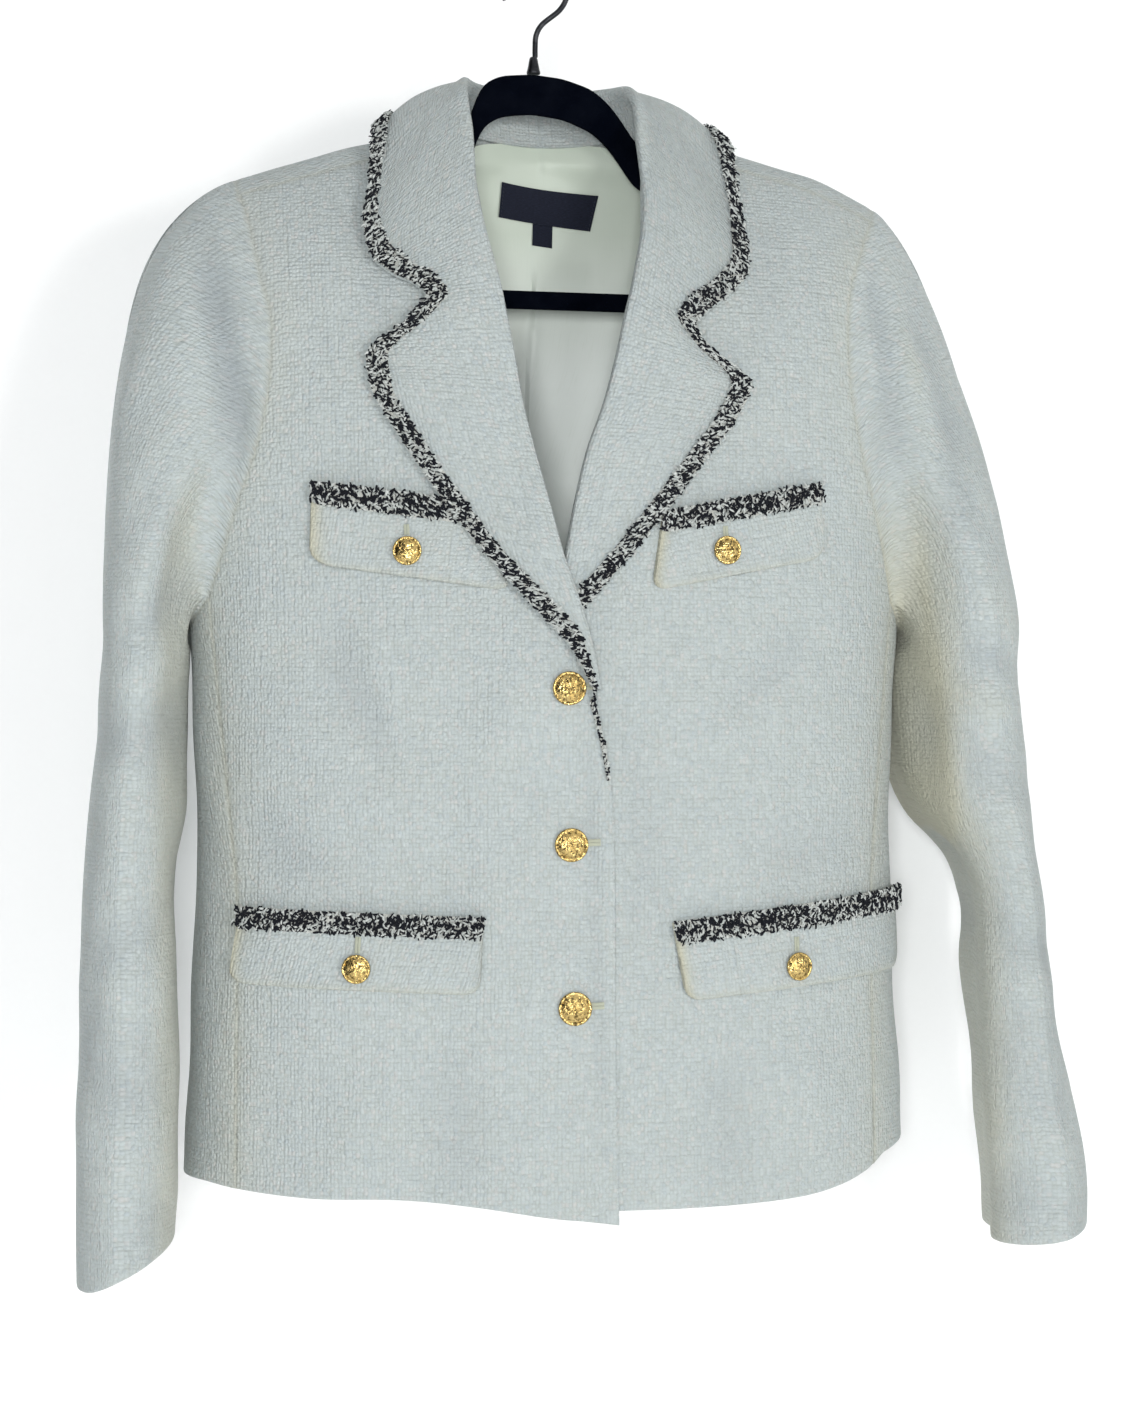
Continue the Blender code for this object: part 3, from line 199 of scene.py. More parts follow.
# Hanger
HOOK_RADIUS = 18.15    # inside of the hook
WIRE_RADIUS = 1.65
HOOK_TIP_TURN = 205.0
STEM_FOOT = -60.0
HANGER_WALL = 5.6
HANGER_DROP = 4.9      # top of the arms below the shoulder ridge
ARMS = [  # x, top z at the arch (None where it follows the ridge), depth of the arm
    (-180.7, None, 11), (-176, None, 14), (-150, None, 17), (-110, None, 21), (-75, None, 24),
    (-56, -114.5, 26), (-48, -111.5, 26), (-43, -109, 27), (-40, -100, 28), (-37, -88, 27),
    (-32, -77.5, 25.5), (-21, -72, 24.5), (-2, -70.5, 24), (17, -72.5, 24.5), (34, -78, 26),
    (44, -86, 27), (52, -96, 28), (57, -104, 28), (60, -109, 27), (68, -114.5, 26),
    (85, None, 24), (125, None, 21),
    (165, None, 17), (196, None, 14), (203, None, 11),
]
BAR_ROUTE = [  # x, z along the middle of the trouser bar
    (-170, -158.8), (-172, -171.5), (-169, -190), (-160, -198.5), (-145, -203), (0, -205.5),
    (160, -206), (176, -202), (186, -193), (190, -174), (188, -159.2),
]
BAR_DEPTH = 11.0
BAR_WALL = 5.0
FERRULE_FOOT = -70.1
FERRULE_RADII = (4.6, 2.3)
STEM_BEND = [(0.0, -54.0), (0.6, -47.0), (4.0, -40.6)]   # x, z of the wire from its stem to the circle
CIRCLE_START = -54       # turn at which the circle begins


# The body's form, on arrays of places

def smooth(value, low, high):
    """0 below low, 1 above high, eased between; low may be the larger."""
    t = np.clip((value - low) / (high - low), 0.0, 1.0)
    return t * t * (3 - 2 * t)


def read(rows, key, column=1):
    """Read a table along its first column with a soft curve through its rows."""
    rows = sorted(rows, key=lambda row: row[0])
    xs = np.array([row[0] for row in rows], float)
    ys = np.array([row[column] for row in rows], float)
    steps = np.diff(ys) / np.diff(xs)
    slopes = np.concatenate([steps[:1], (ys[2:] - ys[:-2]) / (xs[2:] - xs[:-2]), steps[-1:]])
    key = np.clip(key, xs[0], xs[-1])
    i = np.clip(np.searchsorted(xs, key) - 1, 0, len(xs) - 2)
    first = np.where(i == 0, steps[0], slopes[i])
    span = xs[i + 1] - xs[i]
    t = (key - xs[i]) / span
    eased = ys[i] + (ys[i + 1] - ys[i]) * t * t * (3 - 2 * t)
    return eased + span * (t * (1 - t) ** 2 * first + t * t * (t - 1) * slopes[i + 1])


def depth_at(x, z, face):
    """How far the body stands off the ridge's plane, in front (face -1) or behind (face 1)."""
    drop = np.maximum(read(RIDGE, x) - z, RIDGE_EDGE)
    depth = np.where(face < 0, FRONT_DEPTH, BACK_DEPTH)
    flatter = 1 - (1 - TOP_SHARE) * np.exp(-drop / TOP_REACH)
    fall = depth * np.sqrt(1 - np.exp(-drop / FALL_REACH)) * flatter
    across = (x - CENTRE_X) / NECK_HALF
    neck = NECK_BACK * np.maximum(1 - across * across, 0) ** 2 * np.exp(np.minimum(z - NECK_Z, 0) / NECK_FADE)
    return np.where(face < 0, fall, np.hypot(fall, neck))


def inside_measure(p):
    """Zero on the body, growing outward."""
    x, y, z = p[..., 0], p[..., 1], p[..., 2]
    s = np.minimum(abs(x - CENTRE_X) / read(WIDTH, z), 1.2)
    above = np.minimum((read(RIDGE, x) - z) / RIDGE_EDGE, 1.0)
    depth = depth_at(x, z, np.where(y < 0, -1, 1))
    return abs(y) ** ROUNDNESS - above * depth ** ROUNDNESS * (1 - s ** ROUNDNESS)


def unit(v):
    return v / np.maximum(np.linalg.norm(v, axis=-1, keepdims=True), 1e-9)


def outward(p):
    """Unit normals of the body."""
    slopes = [inside_measure(p + step) - inside_measure(p - step) for step in np.eye(3) * 0.2]
    return unit(np.stack(slopes, axis=-1))


def turn_of(x, z, face):
    """Turn about the body, in degrees, of the point of one face at x, z."""
    s = np.clip((x - CENTRE_X) / read(WIDTH, z), -1.0, 1.0)
    turn = np.degrees(np.arcsin(abs(s) ** (ROUNDNESS / 2)))
    return np.copysign(np.where(face > 0, 180 - turn, turn), s)


def on_turn(turn, z, lift=0.0):
    """Points of the body at a turn and a height, moved out by lift."""
    sine, cosine = np.sin(np.radians(turn)), np.cos(np.radians(turn))
    s = np.copysign(abs(sine) ** (2 / ROUNDNESS), sine)
    x = CENTRE_X + read(WIDTH, z) * s
    face = np.where(cosine > 0, -1, 1)
    y = face * depth_at(x, z, face) * abs(cosine) ** (2 / ROUNDNESS)
    p = np.stack([x, y, z + 0 * x], axis=-1)
    return p + outward(p) * np.asarray(lift)[..., None]


def on_face(x, z, face, lift=0.0):
    """Points of the front (face -1) or the back (face 1) at x, z, moved out by lift."""
    x, z = np.broadcast_arrays(np.asarray(x, float), np.asarray(z, float))
    return on_turn(turn_of(x, z, face), z, lift)


def lap_lift(x, z):
    """The right front rises over the left one, and further over the left lapel."""
    left_edge = read(FRONT_EDGES, z, 2)
    across = smooth(x, left_edge - LAP_RISE[0], left_edge - LAP_RISE[1])
    return across * smooth(z, *LAP_START) * (LAP_LIFT + OVER_LAPEL_LIFT * smooth(z, *LAPEL_COVERED))


def front_point(side, x, z, lift):
    carried = lap_lift(x, z) if side == "right" else 0.0
    return on_face(x, z, -1, carried + lift)


def side_of(side, right, left):
    return right if side == "right" else left


def hem_at(side, turn):
    return read(side_of(side, HEM_RIGHT, HEM_LEFT), side_of(side, -turn, turn))


def seam_x(side, z, column):
    return CENTRE_X + side_of(side, -1, 1) * read(SIDE_SEAMS, z, column)


# Sheets: a grid of points is made into a wall with a weave measured along it

def ticks(count, rounded=(0.0, 0.7, 1.9, 3.6), reach=300.0):
    """Shares from 0 to 1, with closer ones at both ends for the rounded edges."""
    near = [d / reach for d in rounded]
    middle = np.linspace(near[-1], 1 - near[-1], count)[1:-1]
    return np.concatenate([near, middle, [1 - d for d in reversed(near)]])


def neighbours(points, ring=False):
    """Unit normals of a grid, by its neighbours' differences."""
    along = np.gradient(points, axis=1)
    if ring:
        along[:, 0] = along[:, -1] = points[:, 1] - points[:, -2]
    return unit(np.cross(along, np.gradient(points, axis=0)))


def lengths_across(points, drop_z=False):
    """Distance along each row, and down each column, of a grid."""
    weights = np.array([1, 1, 0.0]) if drop_z else np.ones(3)
    across = np.linalg.norm(np.diff(points, axis=1, prepend=points[:, :1]) * weights, axis=-1)
    weights = np.array([0.0, 1, 1]) if drop_z else np.ones(3)
    down = np.linalg.norm(np.diff(points, axis=0, prepend=points[:1]) * weights, axis=-1)
    return np.cumsum(across, axis=1), np.cumsum(down, axis=0)


def length_along(line):
    """Distance of each point of a line from its first one, measured along it."""
    return np.cumsum(np.linalg.norm(np.diff(line, axis=0, prepend=line[:1]), axis=-1))


def at_lengths(places, lengths, line):
    """Points of a line, or directions at them, at places along its lengths."""
    return np.stack([np.interp(places, lengths, line[:, axis]) for axis in range(3)], axis=-1)


def hump(value, reach):
    """1 where the value is 0, falling off to both sides."""
    return np.exp(-(value / reach) ** 2)


def grid_mesh(columns, rows):
    """A bmesh with a number of points in each of its rows."""
    bm = bmesh.new()
    bmesh.ops.create_grid(bm, x_segments=columns - 1, y_segments=rows - 1, size=1.0)
    return bm


def edge_distance(points, sides):
    """Distance of each point from the nearest of the named edges (left, right, top, bottom)."""
    across, down = lengths_across(points)
    far = np.full(across.shape, 1e3)
    found = {
        "left": across, "right": across[:, -1:] - across, "top": down, "bottom": down[-1:] - down,
    }
    for name in sides:
        far = np.minimum(far, found[name])
    return far


def wall(name, outer, inner, weave, ring=False, shade_and_yellowing=0.0, fold=0.0):
    """A closed wall between two grids of points, with a map of its weave in metres.

    From 0 to 1, one value per point says how much painted shade yellows the cloth where it lies deep (on the
    lining the same value marks a band that has yellowed), and fold says how much painted shade darkens it
    where a crease dips.
    """
    rows, columns = outer.shape[:2]
    bm = grid_mesh(columns, rows)
    bm.verts.layers.int.new("place")
    shades = []
    for word, values in (("shade_and_yellowing", shade_and_yellowing), ("fold", fold)):
        shades.append((bm.verts.layers.float.new(word), np.broadcast_to(values, outer.shape[:2]).ravel()))
    place = bm.verts.layers.int["place"]
    uv = bm.loops.layers.uv.new("weave")
    flat = outer.reshape(-1, 3) * MM
    under = inner.reshape(-1, 3) * MM
    spots = np.stack(weave, axis=-1).reshape(-1, 2) * MM
    for index, vert in enumerate(bm.verts):
        vert[place] = index
        vert.co = flat[index]
        for layer, values in shades:
            vert[layer] = values[index]
    for face in bm.faces:
        for loop in face.loops:
            loop[uv].uv = spots[loop.vert[place]]
    if ring:
        ends = [v for v in bm.verts if v[place] % columns in (0, columns - 1)]
        bmesh.ops.remove_doubles(bm, verts=ends, dist=1e-6)
    copied = bmesh.ops.extrude_face_region(bm, geom=bm.faces[:], use_keep_orig=True)
    for vert in copied["geom"]:
        if isinstance(vert, bmesh.types.BMVert):
            vert.co = under[vert[place]]
    return finished(name, bm)


def finished(name, bm, smooth_angle=50, closed=True):
    """A piece of the jacket from a bmesh in metres."""
    if closed:
        bmesh.ops.recalc_face_normals(bm, faces=bm.faces)
    mesh = bpy.data.meshes.new(name)
    bm.to_mesh(mesh)
    bm.free()
    mesh.shade_smooth()
    mesh.set_sharp_from_angle(angle=math.radians(smooth_angle))
    made = bpy.data.objects.new(name, mesh)
    bpy.context.scene.collection.objects.link(made)
    return made


# Creases and the cloth's own unevenness

CREASES = {  # width, height (negative for a trough), then x, z down its middle
    "front": [
        (7, -2.2, (-176, -150), (-172, -178), (-166, -215), (-163, -262)),
        (9, 1.6, (-186, -152), (-184, -190), (-178, -235)),
        (15, -2.4, (-128, -395), (-112, -440), (-100, -470)),
        (9, 1.5, (-110, -396), (-98, -432), (-88, -462)),
        (5, -1.0, (-101, -424), (-101, -500)),
        (5, -1.7, (11, -440), (18, -480), (21, -560), (24, -640), (26, -705)),
        (5, 1.2, (21, -440), (27, -490), (29, -560), (31, -640)),
        (14, -1.2, (44, -460), (50, -520), (46, -600)),
        (16, -1.8, (-176, -510), (-150, -530), (-120, -538)),
        (18, 2.0, (-150, -480), (-120, -500), (-84, -512)),
        (12, -1.6, (150, -400), (128, -430), (100, -452)),
        (12, 1.6, (168, -418), (140, -448), (112, -470)),
        (14, -1.5, (186, -520), (150, -536), (118, -540)),
        (16, -1.6, (-60, -640), (-56, -690), (-58, -728)),
        (15, 1.6, (-112, -650), (-116, -700), (-118, -724)),
        (16, -1.5, (96, -640), (100, -690), (104, -728)),
        (15, 1.4, (150, -640), (154, -690), (156, -716)),
        (12, -1.4, (-120, -150), (-100, -190), (-96, -230)),
        (12, -1.4, (140, -150), (126, -190), (122, -230)),
    ],
    "back": [
        (12, -2.2, (-150, -210), (-130, -280), (-124, -350)),
        (12, 1.8, (-120, -220), (-104, -290), (-100, -350)),
        (12, -2.2, (164, -214), (148, -284), (142, -350)),
        (12, 1.6, (136, -224), (122, -290), (118, -350)),
        (22, -2.0, (-60, -140), (8, -158), (74, -142)),
        (18, -1.8, (-170, -470), (-110, -500), (-50, -508)),
        (18, 2.0, (-160, -512), (-100, -536), (-40, -540)),
        (18, -1.8, (186, -474), (124, -504), (66, -512)),
        (18, 1.8, (174, -516), (116, -540), (60, -546)),
        (18, -1.7, (-70, -600), (-74, -660), (-72, -716)),
        (18, 1.6, (-20, -610), (-24, -670), (-22, -720)),
        (18, -1.6, (84, -604), (88, -664), (86, -716)),
        (4, -1.1, (8, -112), (8, -300), (8, -520), (8, -722)),
    ],
    "sleeve": [
        (10, -5.2, (-200, -168), (-197, -190), (-190, -225), (-184, -251), (-177, -285), (-175, -330)),
        (12, 2.0, (-216, -200), (-212, -245), (-206, -300), (-204, -345)),
        (14, -3.4, (-204, -372), (-226, -400), (-250, -414)),
        (13, 2.8, (-210, -402), (-232, -430), (-254, -444)),
        (14, -2.6, (-214, -440), (-236, -466), (-262, -478)),
        (14, -2.2, (-222, -560), (-244, -580), (-266, -586)),
        (13, 1.8, (-218, -585), (-240, -606), (-262, -612)),
        (14, -1.8, (-264, -640), (-244, -664), (-222, -672)),
        (7, -2.8, (197, -172), (200, -205), (204, -258), (206, -310)),
        (8, 2.4, (208, -178), (214, -222), (222, -262), (228, -320)),
        (9, -3.2, (222, -194), (231, -235), (241, -272), (246, -330)),
        (7, 2.6, (230, -350), (236, -420), (242, -480), (246, -550)),
        (8, -1.6, (216, -340), (222, -400), (228, -460)),
        (14, -3.0, (244, -404), (262, -420), (286, -428)),
        (13, 2.6, (240, -428), (262, -446), (288, -452)),
        (14, -2.6, (250, -470), (272, -492), (296, -500)),
        (13, -2.2, (270, -574), (286, -590), (304, -596)),
        (12, 1.8, (272, -598), (288, -614), (306, -620)),
        (13, -1.7, (276, -664), (292, -684), (314, -690)),
    ],
}
WAVES = [  # length and turn of the soft swells in the cloth, and their height
    (118, 17, 0.55), (91, 74, 0.5), (67, 128, 0.4), (149, 101, 0.6), (53, 46, 0.25), (41, 160, 0.18),
]


def creased(where, x, z):
    """Height of the folds of one part of the jacket at x, z as seen from the front or the back."""
    height = np.zeros(np.shape(x))
    for width, rise, *line in CREASES[where]:
        nearest = np.full(np.shape(x), 1e6)
        steps = [math.dist(a, b) for a, b in zip(line, line[1:])]
        gone, at = 0.0, np.zeros(np.shape(x))
        for (ax, az), (bx, bz), step in zip(line, line[1:], steps):
            t = np.clip(((x - ax) * (bx - ax) + (z - az) * (bz - az)) / step ** 2, 0, 1)
            away = np.hypot(x - ax - (bx - ax) * t, z - az - (bz - az) * t)
            at = np.where(away < nearest, (gone + t * step) / sum(steps), at)
            nearest = np.minimum(nearest, away)
            gone += step
        height += rise * hump(nearest, width) * np.sin(np.pi * np.clip(at, 0.04, 0.96)) ** 0.7
    return height


def swelling(u, v):
    """The low, wide unevenness of hung cloth."""
    height = np.zeros(np.shape(u))
    for length, turn, rise in WAVES:
        a = math.radians(turn)
        height += rise * np.sin((u * math.cos(a) + v * math.sin(a)) * 2 * math.pi / length + turn)
    return height


# Fronts, side panels and back

EDGE_ROUND = 1.6       # radius to which free edges are rounded
SEAM_SINK = (0.35, 1.8)    # depth and reach of the soft trough along a seam
SEWN_ROUND = ["left", "right", "top"]
INNER_SHARE = 0.8      # share of the creases that the cloth's inner face takes
UPPER_ROWS = 8         # rows of a front down to the underarm, and of every panel below it
LOWER_ROWS = 8
FRONT_SPREAD = 0.85    # power that sets a front's columns closer towards its edge
SIDE_TURNS = (68, 118)     # turns about the body of a side panel's seams at the hem
BACK_KEEP = 2.5        # rows over which the back's columns leave the places of its top edge
BACK_UPPER_ROWS = 10   # rows of the back down to the underarm, over the shoulder
BACK_TOP = [  # column, x, root of the drop there
    (0, -176.5, -3.46), (1, -150, -3.46), (2, -124, -3.46), (3, -98, -3.46), (4, -76, -3.46),
    (5, -60, -3.46), (6, -52, -3.46), (7, -51, -1.3), (8, -49.5, 1.0), (9, -44, 1.9), (10, -30, 2.45),
    (11, -10, 2.45), (12, 8, 2.45), (13, 26, 2.45), (14, 46, 2.45), (15, 60, 1.9), (16, 65.5, 1.0),
    (17, 67, -1.3), (18, 68, -3.46), (19, 76, -3.46), (20, 92, -3.46), (21, 114, -3.46),
    (22, 140, -3.46), (23, 166, -3.46), (24, 204, -3.46),
]


def straight(rows, key, column):
    return np.interp(key, [row[0] for row in rows], [row[column] for row in rows])


def below_underarm(side, turn, top_z, below):
    return top_z + (hem_at(side, turn) - top_z) * below / LOWER_ROWS


def side_corner(side, column):
    """Turn and height of a side panel's upper corner, at the front or the back seam."""
    table, face = (FRONT_ARMHOLE, -1) if column == 1 else (BACK_ARMHOLE, 1)
    x = read(table, UNDERARM_ROOT, side_of(side, 1, 2))
    z = read(RIDGE, x) - UNDERARM_ROOT ** 2
    return turn_of(x, z, face), z


def front_spots(side, down, share):
    """x and z of a front: down runs over its rows, share from the armhole to the front edge."""
    column = side_of(side, 1, 2)
    upper, below = np.minimum(down / UPPER_ROWS, 1.0), np.maximum(down - UPPER_ROWS, 0.0)
    root = SHOULDER_ROOT + (UNDERARM_ROOT - SHOULDER_ROOT) * upper
    outer_x = read(FRONT_ARMHOLE, root, column)
    corner_z = read(RIDGE, outer_x) - root ** 2
    hem = hem_at(side, side_of(side, -SIDE_TURNS[0], SIDE_TURNS[0]))
    seam = seam_x(side, corner_z + (hem - corner_z) * below / LOWER_ROWS, 1)
    outer_x = np.where(below > 0, seam, outer_x)

    def height(x):
        z = read(RIDGE, x) - root ** 2
        return below_underarm(side, turn_of(x, z, -1), z, below)
    inner_x = 0.0 * down
    for _ in range(12):
        inner_x = read(FRONT_EDGES, height(inner_x), column)
    x = outer_x + (inner_x - outer_x) * share ** FRONT_SPREAD
    return x, height(x)


def round_off(near):
    """How far an edge's face drops to be rounded, at a distance from the edge."""
    off = np.clip(EDGE_ROUND - near, 0, EDGE_ROUND)
    return EDGE_ROUND - np.sqrt(np.maximum(EDGE_ROUND ** 2 - off ** 2, 0))


def sink(base, seams):
    """How far the cloth sinks beside its seams."""
    return SEAM_SINK[0] * hump(edge_distance(base, seams), SEAM_SINK[1])


def panel_wall(name, place, where, free, seams, anchor, swell=1.0, shade=0.0):
    """A panel on the body: place(lift) gives its points; free edges and seams are rounded off.

    Threads run down from the anchor column, and the weave is measured from it. Painted shade yellows the
    cloth beside its seams and, by the share shade, along its left edge, and darkens it in the troughs of its
    folds.
    """
    base = place(0.0)
    across, down = lengths_across(base, drop_z=True)
    column = int(anchor * (base.shape[1] - 1))
    way = math.copysign(1, base[-1, -1, 0] - base[-1, 0, 0])
    across = (across - across[:, column:column + 1]) * way + base[:, column:column + 1, 0]
    weave = (across, base[-1:, :, 2] + down[-1:] - down)
    near = edge_distance(base, free + seams)
    soft = np.clip(near / 25, 0, 1)
    folds = creased(where, base[..., 0], base[..., 2])
    rise = folds * np.clip(near / 10, 0, 1) + swelling(*weave) * soft * swell
    sunk = sink(base, seams)
    rounded = round_off(edge_distance(base, free))
    # painted shade: darker in the troughs of the folds and beside the seams
    crease_shade = np.clip(-folds / 6, 0, 1) + sunk * 0.5
    # painted shade: yellower beside the seams and along the left edge
    deep = np.clip(sunk + shade * hump(edge_distance(base, ["left"]), 16), 0, 1)
    inner = place(rise * INNER_SHARE - TWEED)
    return wall(name, place(rise - rounded - sunk), inner, weave, shade_and_yellowing=deep, fold=crease_shade)


def front(side):
    down = ticks(130, reach=560)[:, None] * (UPPER_ROWS + LOWER_ROWS)
    x, z = front_spots(side, down, ticks(60, reach=220)[None, :])

    def place(lift):
        return front_point(side, x, z, lift)
    free, seams = ["right", "bottom"], ["left", "top"]
    return panel_wall("front_cloth_" + side, place, "front", free, seams, 1.0, 0.6, 0.15)


def side_spots(side, down, share):
    """Turns and heights of a side panel; share runs from its front seam to its back seam."""
    (front_turn, front_z), (back_turn, back_z) = side_corner(side, 1), side_corner(side, 2)
    top = front_z + (back_z - front_z) * share - UNDERARM_DIP * np.sin(np.pi * share)
    turn = front_turn + (back_turn - front_turn) * share
    z = below_underarm(side, turn, top, down)
    low_front = turn_of(seam_x(side, z, 1), z, -1)
    low_back = turn_of(seam_x(side, z, 2), z, 1)
    turn = np.where(down > 0, low_front + (low_back - low_front) * share, turn)
    return turn, below_underarm(side, turn, top, down)


def side_panel(side):
    down = ticks(90, reach=340)[:, None] * LOWER_ROWS
    turn, z = side_spots(side, down, ticks(30, reach=110)[None, :])

    def place(lift):
        return on_turn(turn, z, lift)
    return panel_wall("side_cloth_" + side, place, "back", ["bottom"], SEWN_ROUND, 0.0, 0.6, 0.25)


def back_spots(down, share):
    """x, z and face of the back; down runs over its rows and share from right to left."""
    upper = np.minimum(down / BACK_UPPER_ROWS, 1.0)
    below = np.maximum(down - BACK_UPPER_ROWS, 0.0)
    edge_root = -SHOULDER_ROOT + (UNDERARM_ROOT + SHOULDER_ROOT) * upper
    ends = []
    for column, side in ((1, "right"), (2, "left")):
        corner_z = side_corner(side, 2)[1]
        hem = hem_at(side, side_of(side, -SIDE_TURNS[1], SIDE_TURNS[1]))
        low = seam_x(side, corner_z + (hem - corner_z) * below / LOWER_ROWS, 2)
        ends.append(np.where(below > 0, low, read(BACK_ARMHOLE, edge_root, column)))
    columns = share * (len(BACK_TOP) - 1)
    top_x, top_root = straight(BACK_TOP, columns, 1), straight(BACK_TOP, columns, 2)
    first_x, last_x = BACK_TOP[0][1], BACK_TOP[-1][1]
    even = ends[0] + (ends[1] - ends[0]) * share
    follows = ends[0] + (top_x - first_x) * (ends[1] - ends[0]) / (last_x - first_x)
    x = even + (follows - even) * np.exp(-down / BACK_KEEP)
    root = top_root + (UNDERARM_ROOT - top_root) * upper
    z = read(RIDGE, x) - root * root
    face = np.where(root < 0, -1, 1)
    left_z = below_underarm("left", turn_of(x, z, 1), z, below)
    right_z = below_underarm("right", turn_of(x, z, 1), z, below)
    low_z = np.where(x < CENTRE_X, right_z, left_z)
    return x, np.where(below > 0, low_z, z), face


def back():
    down = ticks(150, reach=600)[:, None] * (BACK_UPPER_ROWS + LOWER_ROWS)
    x, z, face = back_spots(down, ticks(124, reach=400)[None, :])

    def place(lift):
        return on_face(x, z, face, lift)
    return panel_wall("back_cloth", place, "back", ["bottom"], SEWN_ROUND, 0.5)


# Lining

LINING_ROOTS = (5.0, 24.2)     # roots of the drop at which the lining begins and ends
LINING_NECK_RISE = 2.2     # how much higher it begins in the middle, over a share of its width
LINING_NECK_SHARE = 0.21
LINING_INSET = 9.0     # from the armholes and from its sides below them
LINING_LOW_X = (-176, 192)
LABEL_PLACE = (12, -150)   # x, z round which the satin lies flat
NECK_BAND = -119       # middle of the puffed and yellowed band below the neck
NECK_BAND_REACH = 7
NECK_PUFF = 1.6
WIDE_DRAPE = 0.9       # height of the wide folds down the satin, and of the fine ones
FINE_DRAPE = 0.5
PLEAT_FALL = 14.0      # distance beside the pleat over which it sinks back
PLEAT = [  # z, x of the centre pleat's fold, how far it stands off
    (-112, 9, 2.2), (-150, 9, 2.4), (-200, 5, 3.4), (-300, 1, 3.6), (-600, 0, 2.0),
]


def back_lining():
    """Satin down the back, with a centre pleat and soft vertical folds, standing in from the tweed."""
    share = np.linspace(0, 1, 90)[:, None]
    across = np.linspace(0, 1, 150)[None, :]
    start = LINING_ROOTS[0] - LINING_NECK_RISE * np.exp(-((across - 0.5) / LINING_NECK_SHARE) ** 4)
    root = start + (LINING_ROOTS[1] - start) * share
    above = root < UNDERARM_ROOT
    right = np.where(above, read(BACK_ARMHOLE, root), LINING_LOW_X[0]) + LINING_INSET
    left = np.where(above, read(BACK_ARMHOLE, root, 2), LINING_LOW_X[1]) - LINING_INSET
    x = right + (left - right) * across
    z = read(RIDGE, x) - root ** 2
    fold_x, fold = read(PLEAT, z), read(PLEAT, z, 2)
    away = x - fold_x
    pleat = fold * np.exp(-np.maximum(away, 0) / PLEAT_FALL) * smooth(away, -1.5, 1.0)
    wide, fine = np.sin(x / 11.0 + z / 90) * smooth(z, -140, -260), np.sin(x / 5.3 - z / 60)
    drape = WIDE_DRAPE * wide + FINE_DRAPE * fine
    puffed = NECK_PUFF * hump(z - NECK_BAND - 1 + 0.02 * x, NECK_BAND_REACH)
    puff = (pleat + 0.8 * drape + puffed) * np.clip(share * 14, 0, 1)
    from_label = np.hypot((x - LABEL_PLACE[0]) / 42, (z - LABEL_PLACE[1]) / 27)
    puff = np.clip(puff, -LINING_GAP * 0.6, 6.0) * smooth(from_label, 0.85, 1.25)

    def place(lift):
        return on_face(x, z, 1, lift)
    face = -TWEED - LINING_GAP
    stained = hump(z - NECK_BAND + 0.05 * x, NECK_BAND_REACH) * (0.7 + 0.3 * np.sin(x / 17))
    outer, inner = place(face - puff), place(face - SATIN - puff)
    weave = lengths_across(place(face))
    return wall("lining_satin", outer, inner, weave, shade_and_yellowing=np.clip(stained, 0, 1))


# Sleeves

HEAD_OUT = (34, 7)     # how far the head leaves its seam, at the shoulder and at the underarm
HEAD_DOWN = (150, 22)  # how steeply it arrives at the tube there
HEAD_UNDERARM = 14
HEAD_FULLER = (36, 0)  # further fullness of the right and the left head
HEAD_FULL_FADE = (-290, -170)
UNDERARM_FADE = (-330, -395)
HANG_FADE = (-470, -180)
CUFF_RISE_FADE = (-620, -740)
HEAD_SHARES = [0.0, 0.0025, 0.007, 0.014, *np.linspace(0.03, 1.0, 66)]     # rows of the head
HEAD_ROWS = len(HEAD_SHARES)
TUBE_ROWS = 84
HEAD_EASE = 0.35       # height of the little gathers over the sleeve's head
EASE_WIDTH = 17.0      # width of the smoothing where the head meets the tube
EASE_FADE = 55.0       # distance over which that fades up and down the sleeve
EASE_FROM_SEAM = 0.3   # its largest share of the distance from the armhole's seam
EASE_LEAST = 0.5
FORWARD_FOLD = (0, 15)     # how far the inner fold of the right and the left sleeve comes forward
FORWARD_FADE = (-470, -545)
INNER_FULLNESS = (6, 12)   # how much fuller the inner sides hang, between two heights
FULLNESS_TOP = (-380, -430)
FULLNESS_FOOT = (-545, -500)
SLEEVE_GIRTH = 330.0   # width of the weave round a sleeve
GATHER_PITCH = 3.4
BEHIND_RISE = 9.0      # how much higher the creases run at the back of a sleeve, and their share there
BEHIND_SHARE = 0.8
SHADED_EDGE = ((246, -480), 0.105)   # x and z on the edge of the painted shade under the left arm, and its lean


def armhole(side, count):
    """Points of the armhole's seam from the shoulder, down the front and up the back."""
    column = side_of(side, 1, 2)
    root = np.linspace(SHOULDER_ROOT, UNDERARM_ROOT, count)
    x = read(FRONT_ARMHOLE, root, column)
    ahead = on_face(x, read(RIDGE, x) - root ** 2, -1)
    share = np.linspace(0, 1, count // 2)[1:-1]
    under = on_turn(*side_spots(side, 0.0 * share, share))
    root = np.linspace(UNDERARM_ROOT, -SHOULDER_ROOT, count + 4)
    x = read(BACK_ARMHOLE, root, column)
    behind = on_face(x, read(RIDGE, x) - root ** 2, np.where(root < 0, -1, 1))
    return np.concatenate([ahead, under, behind])


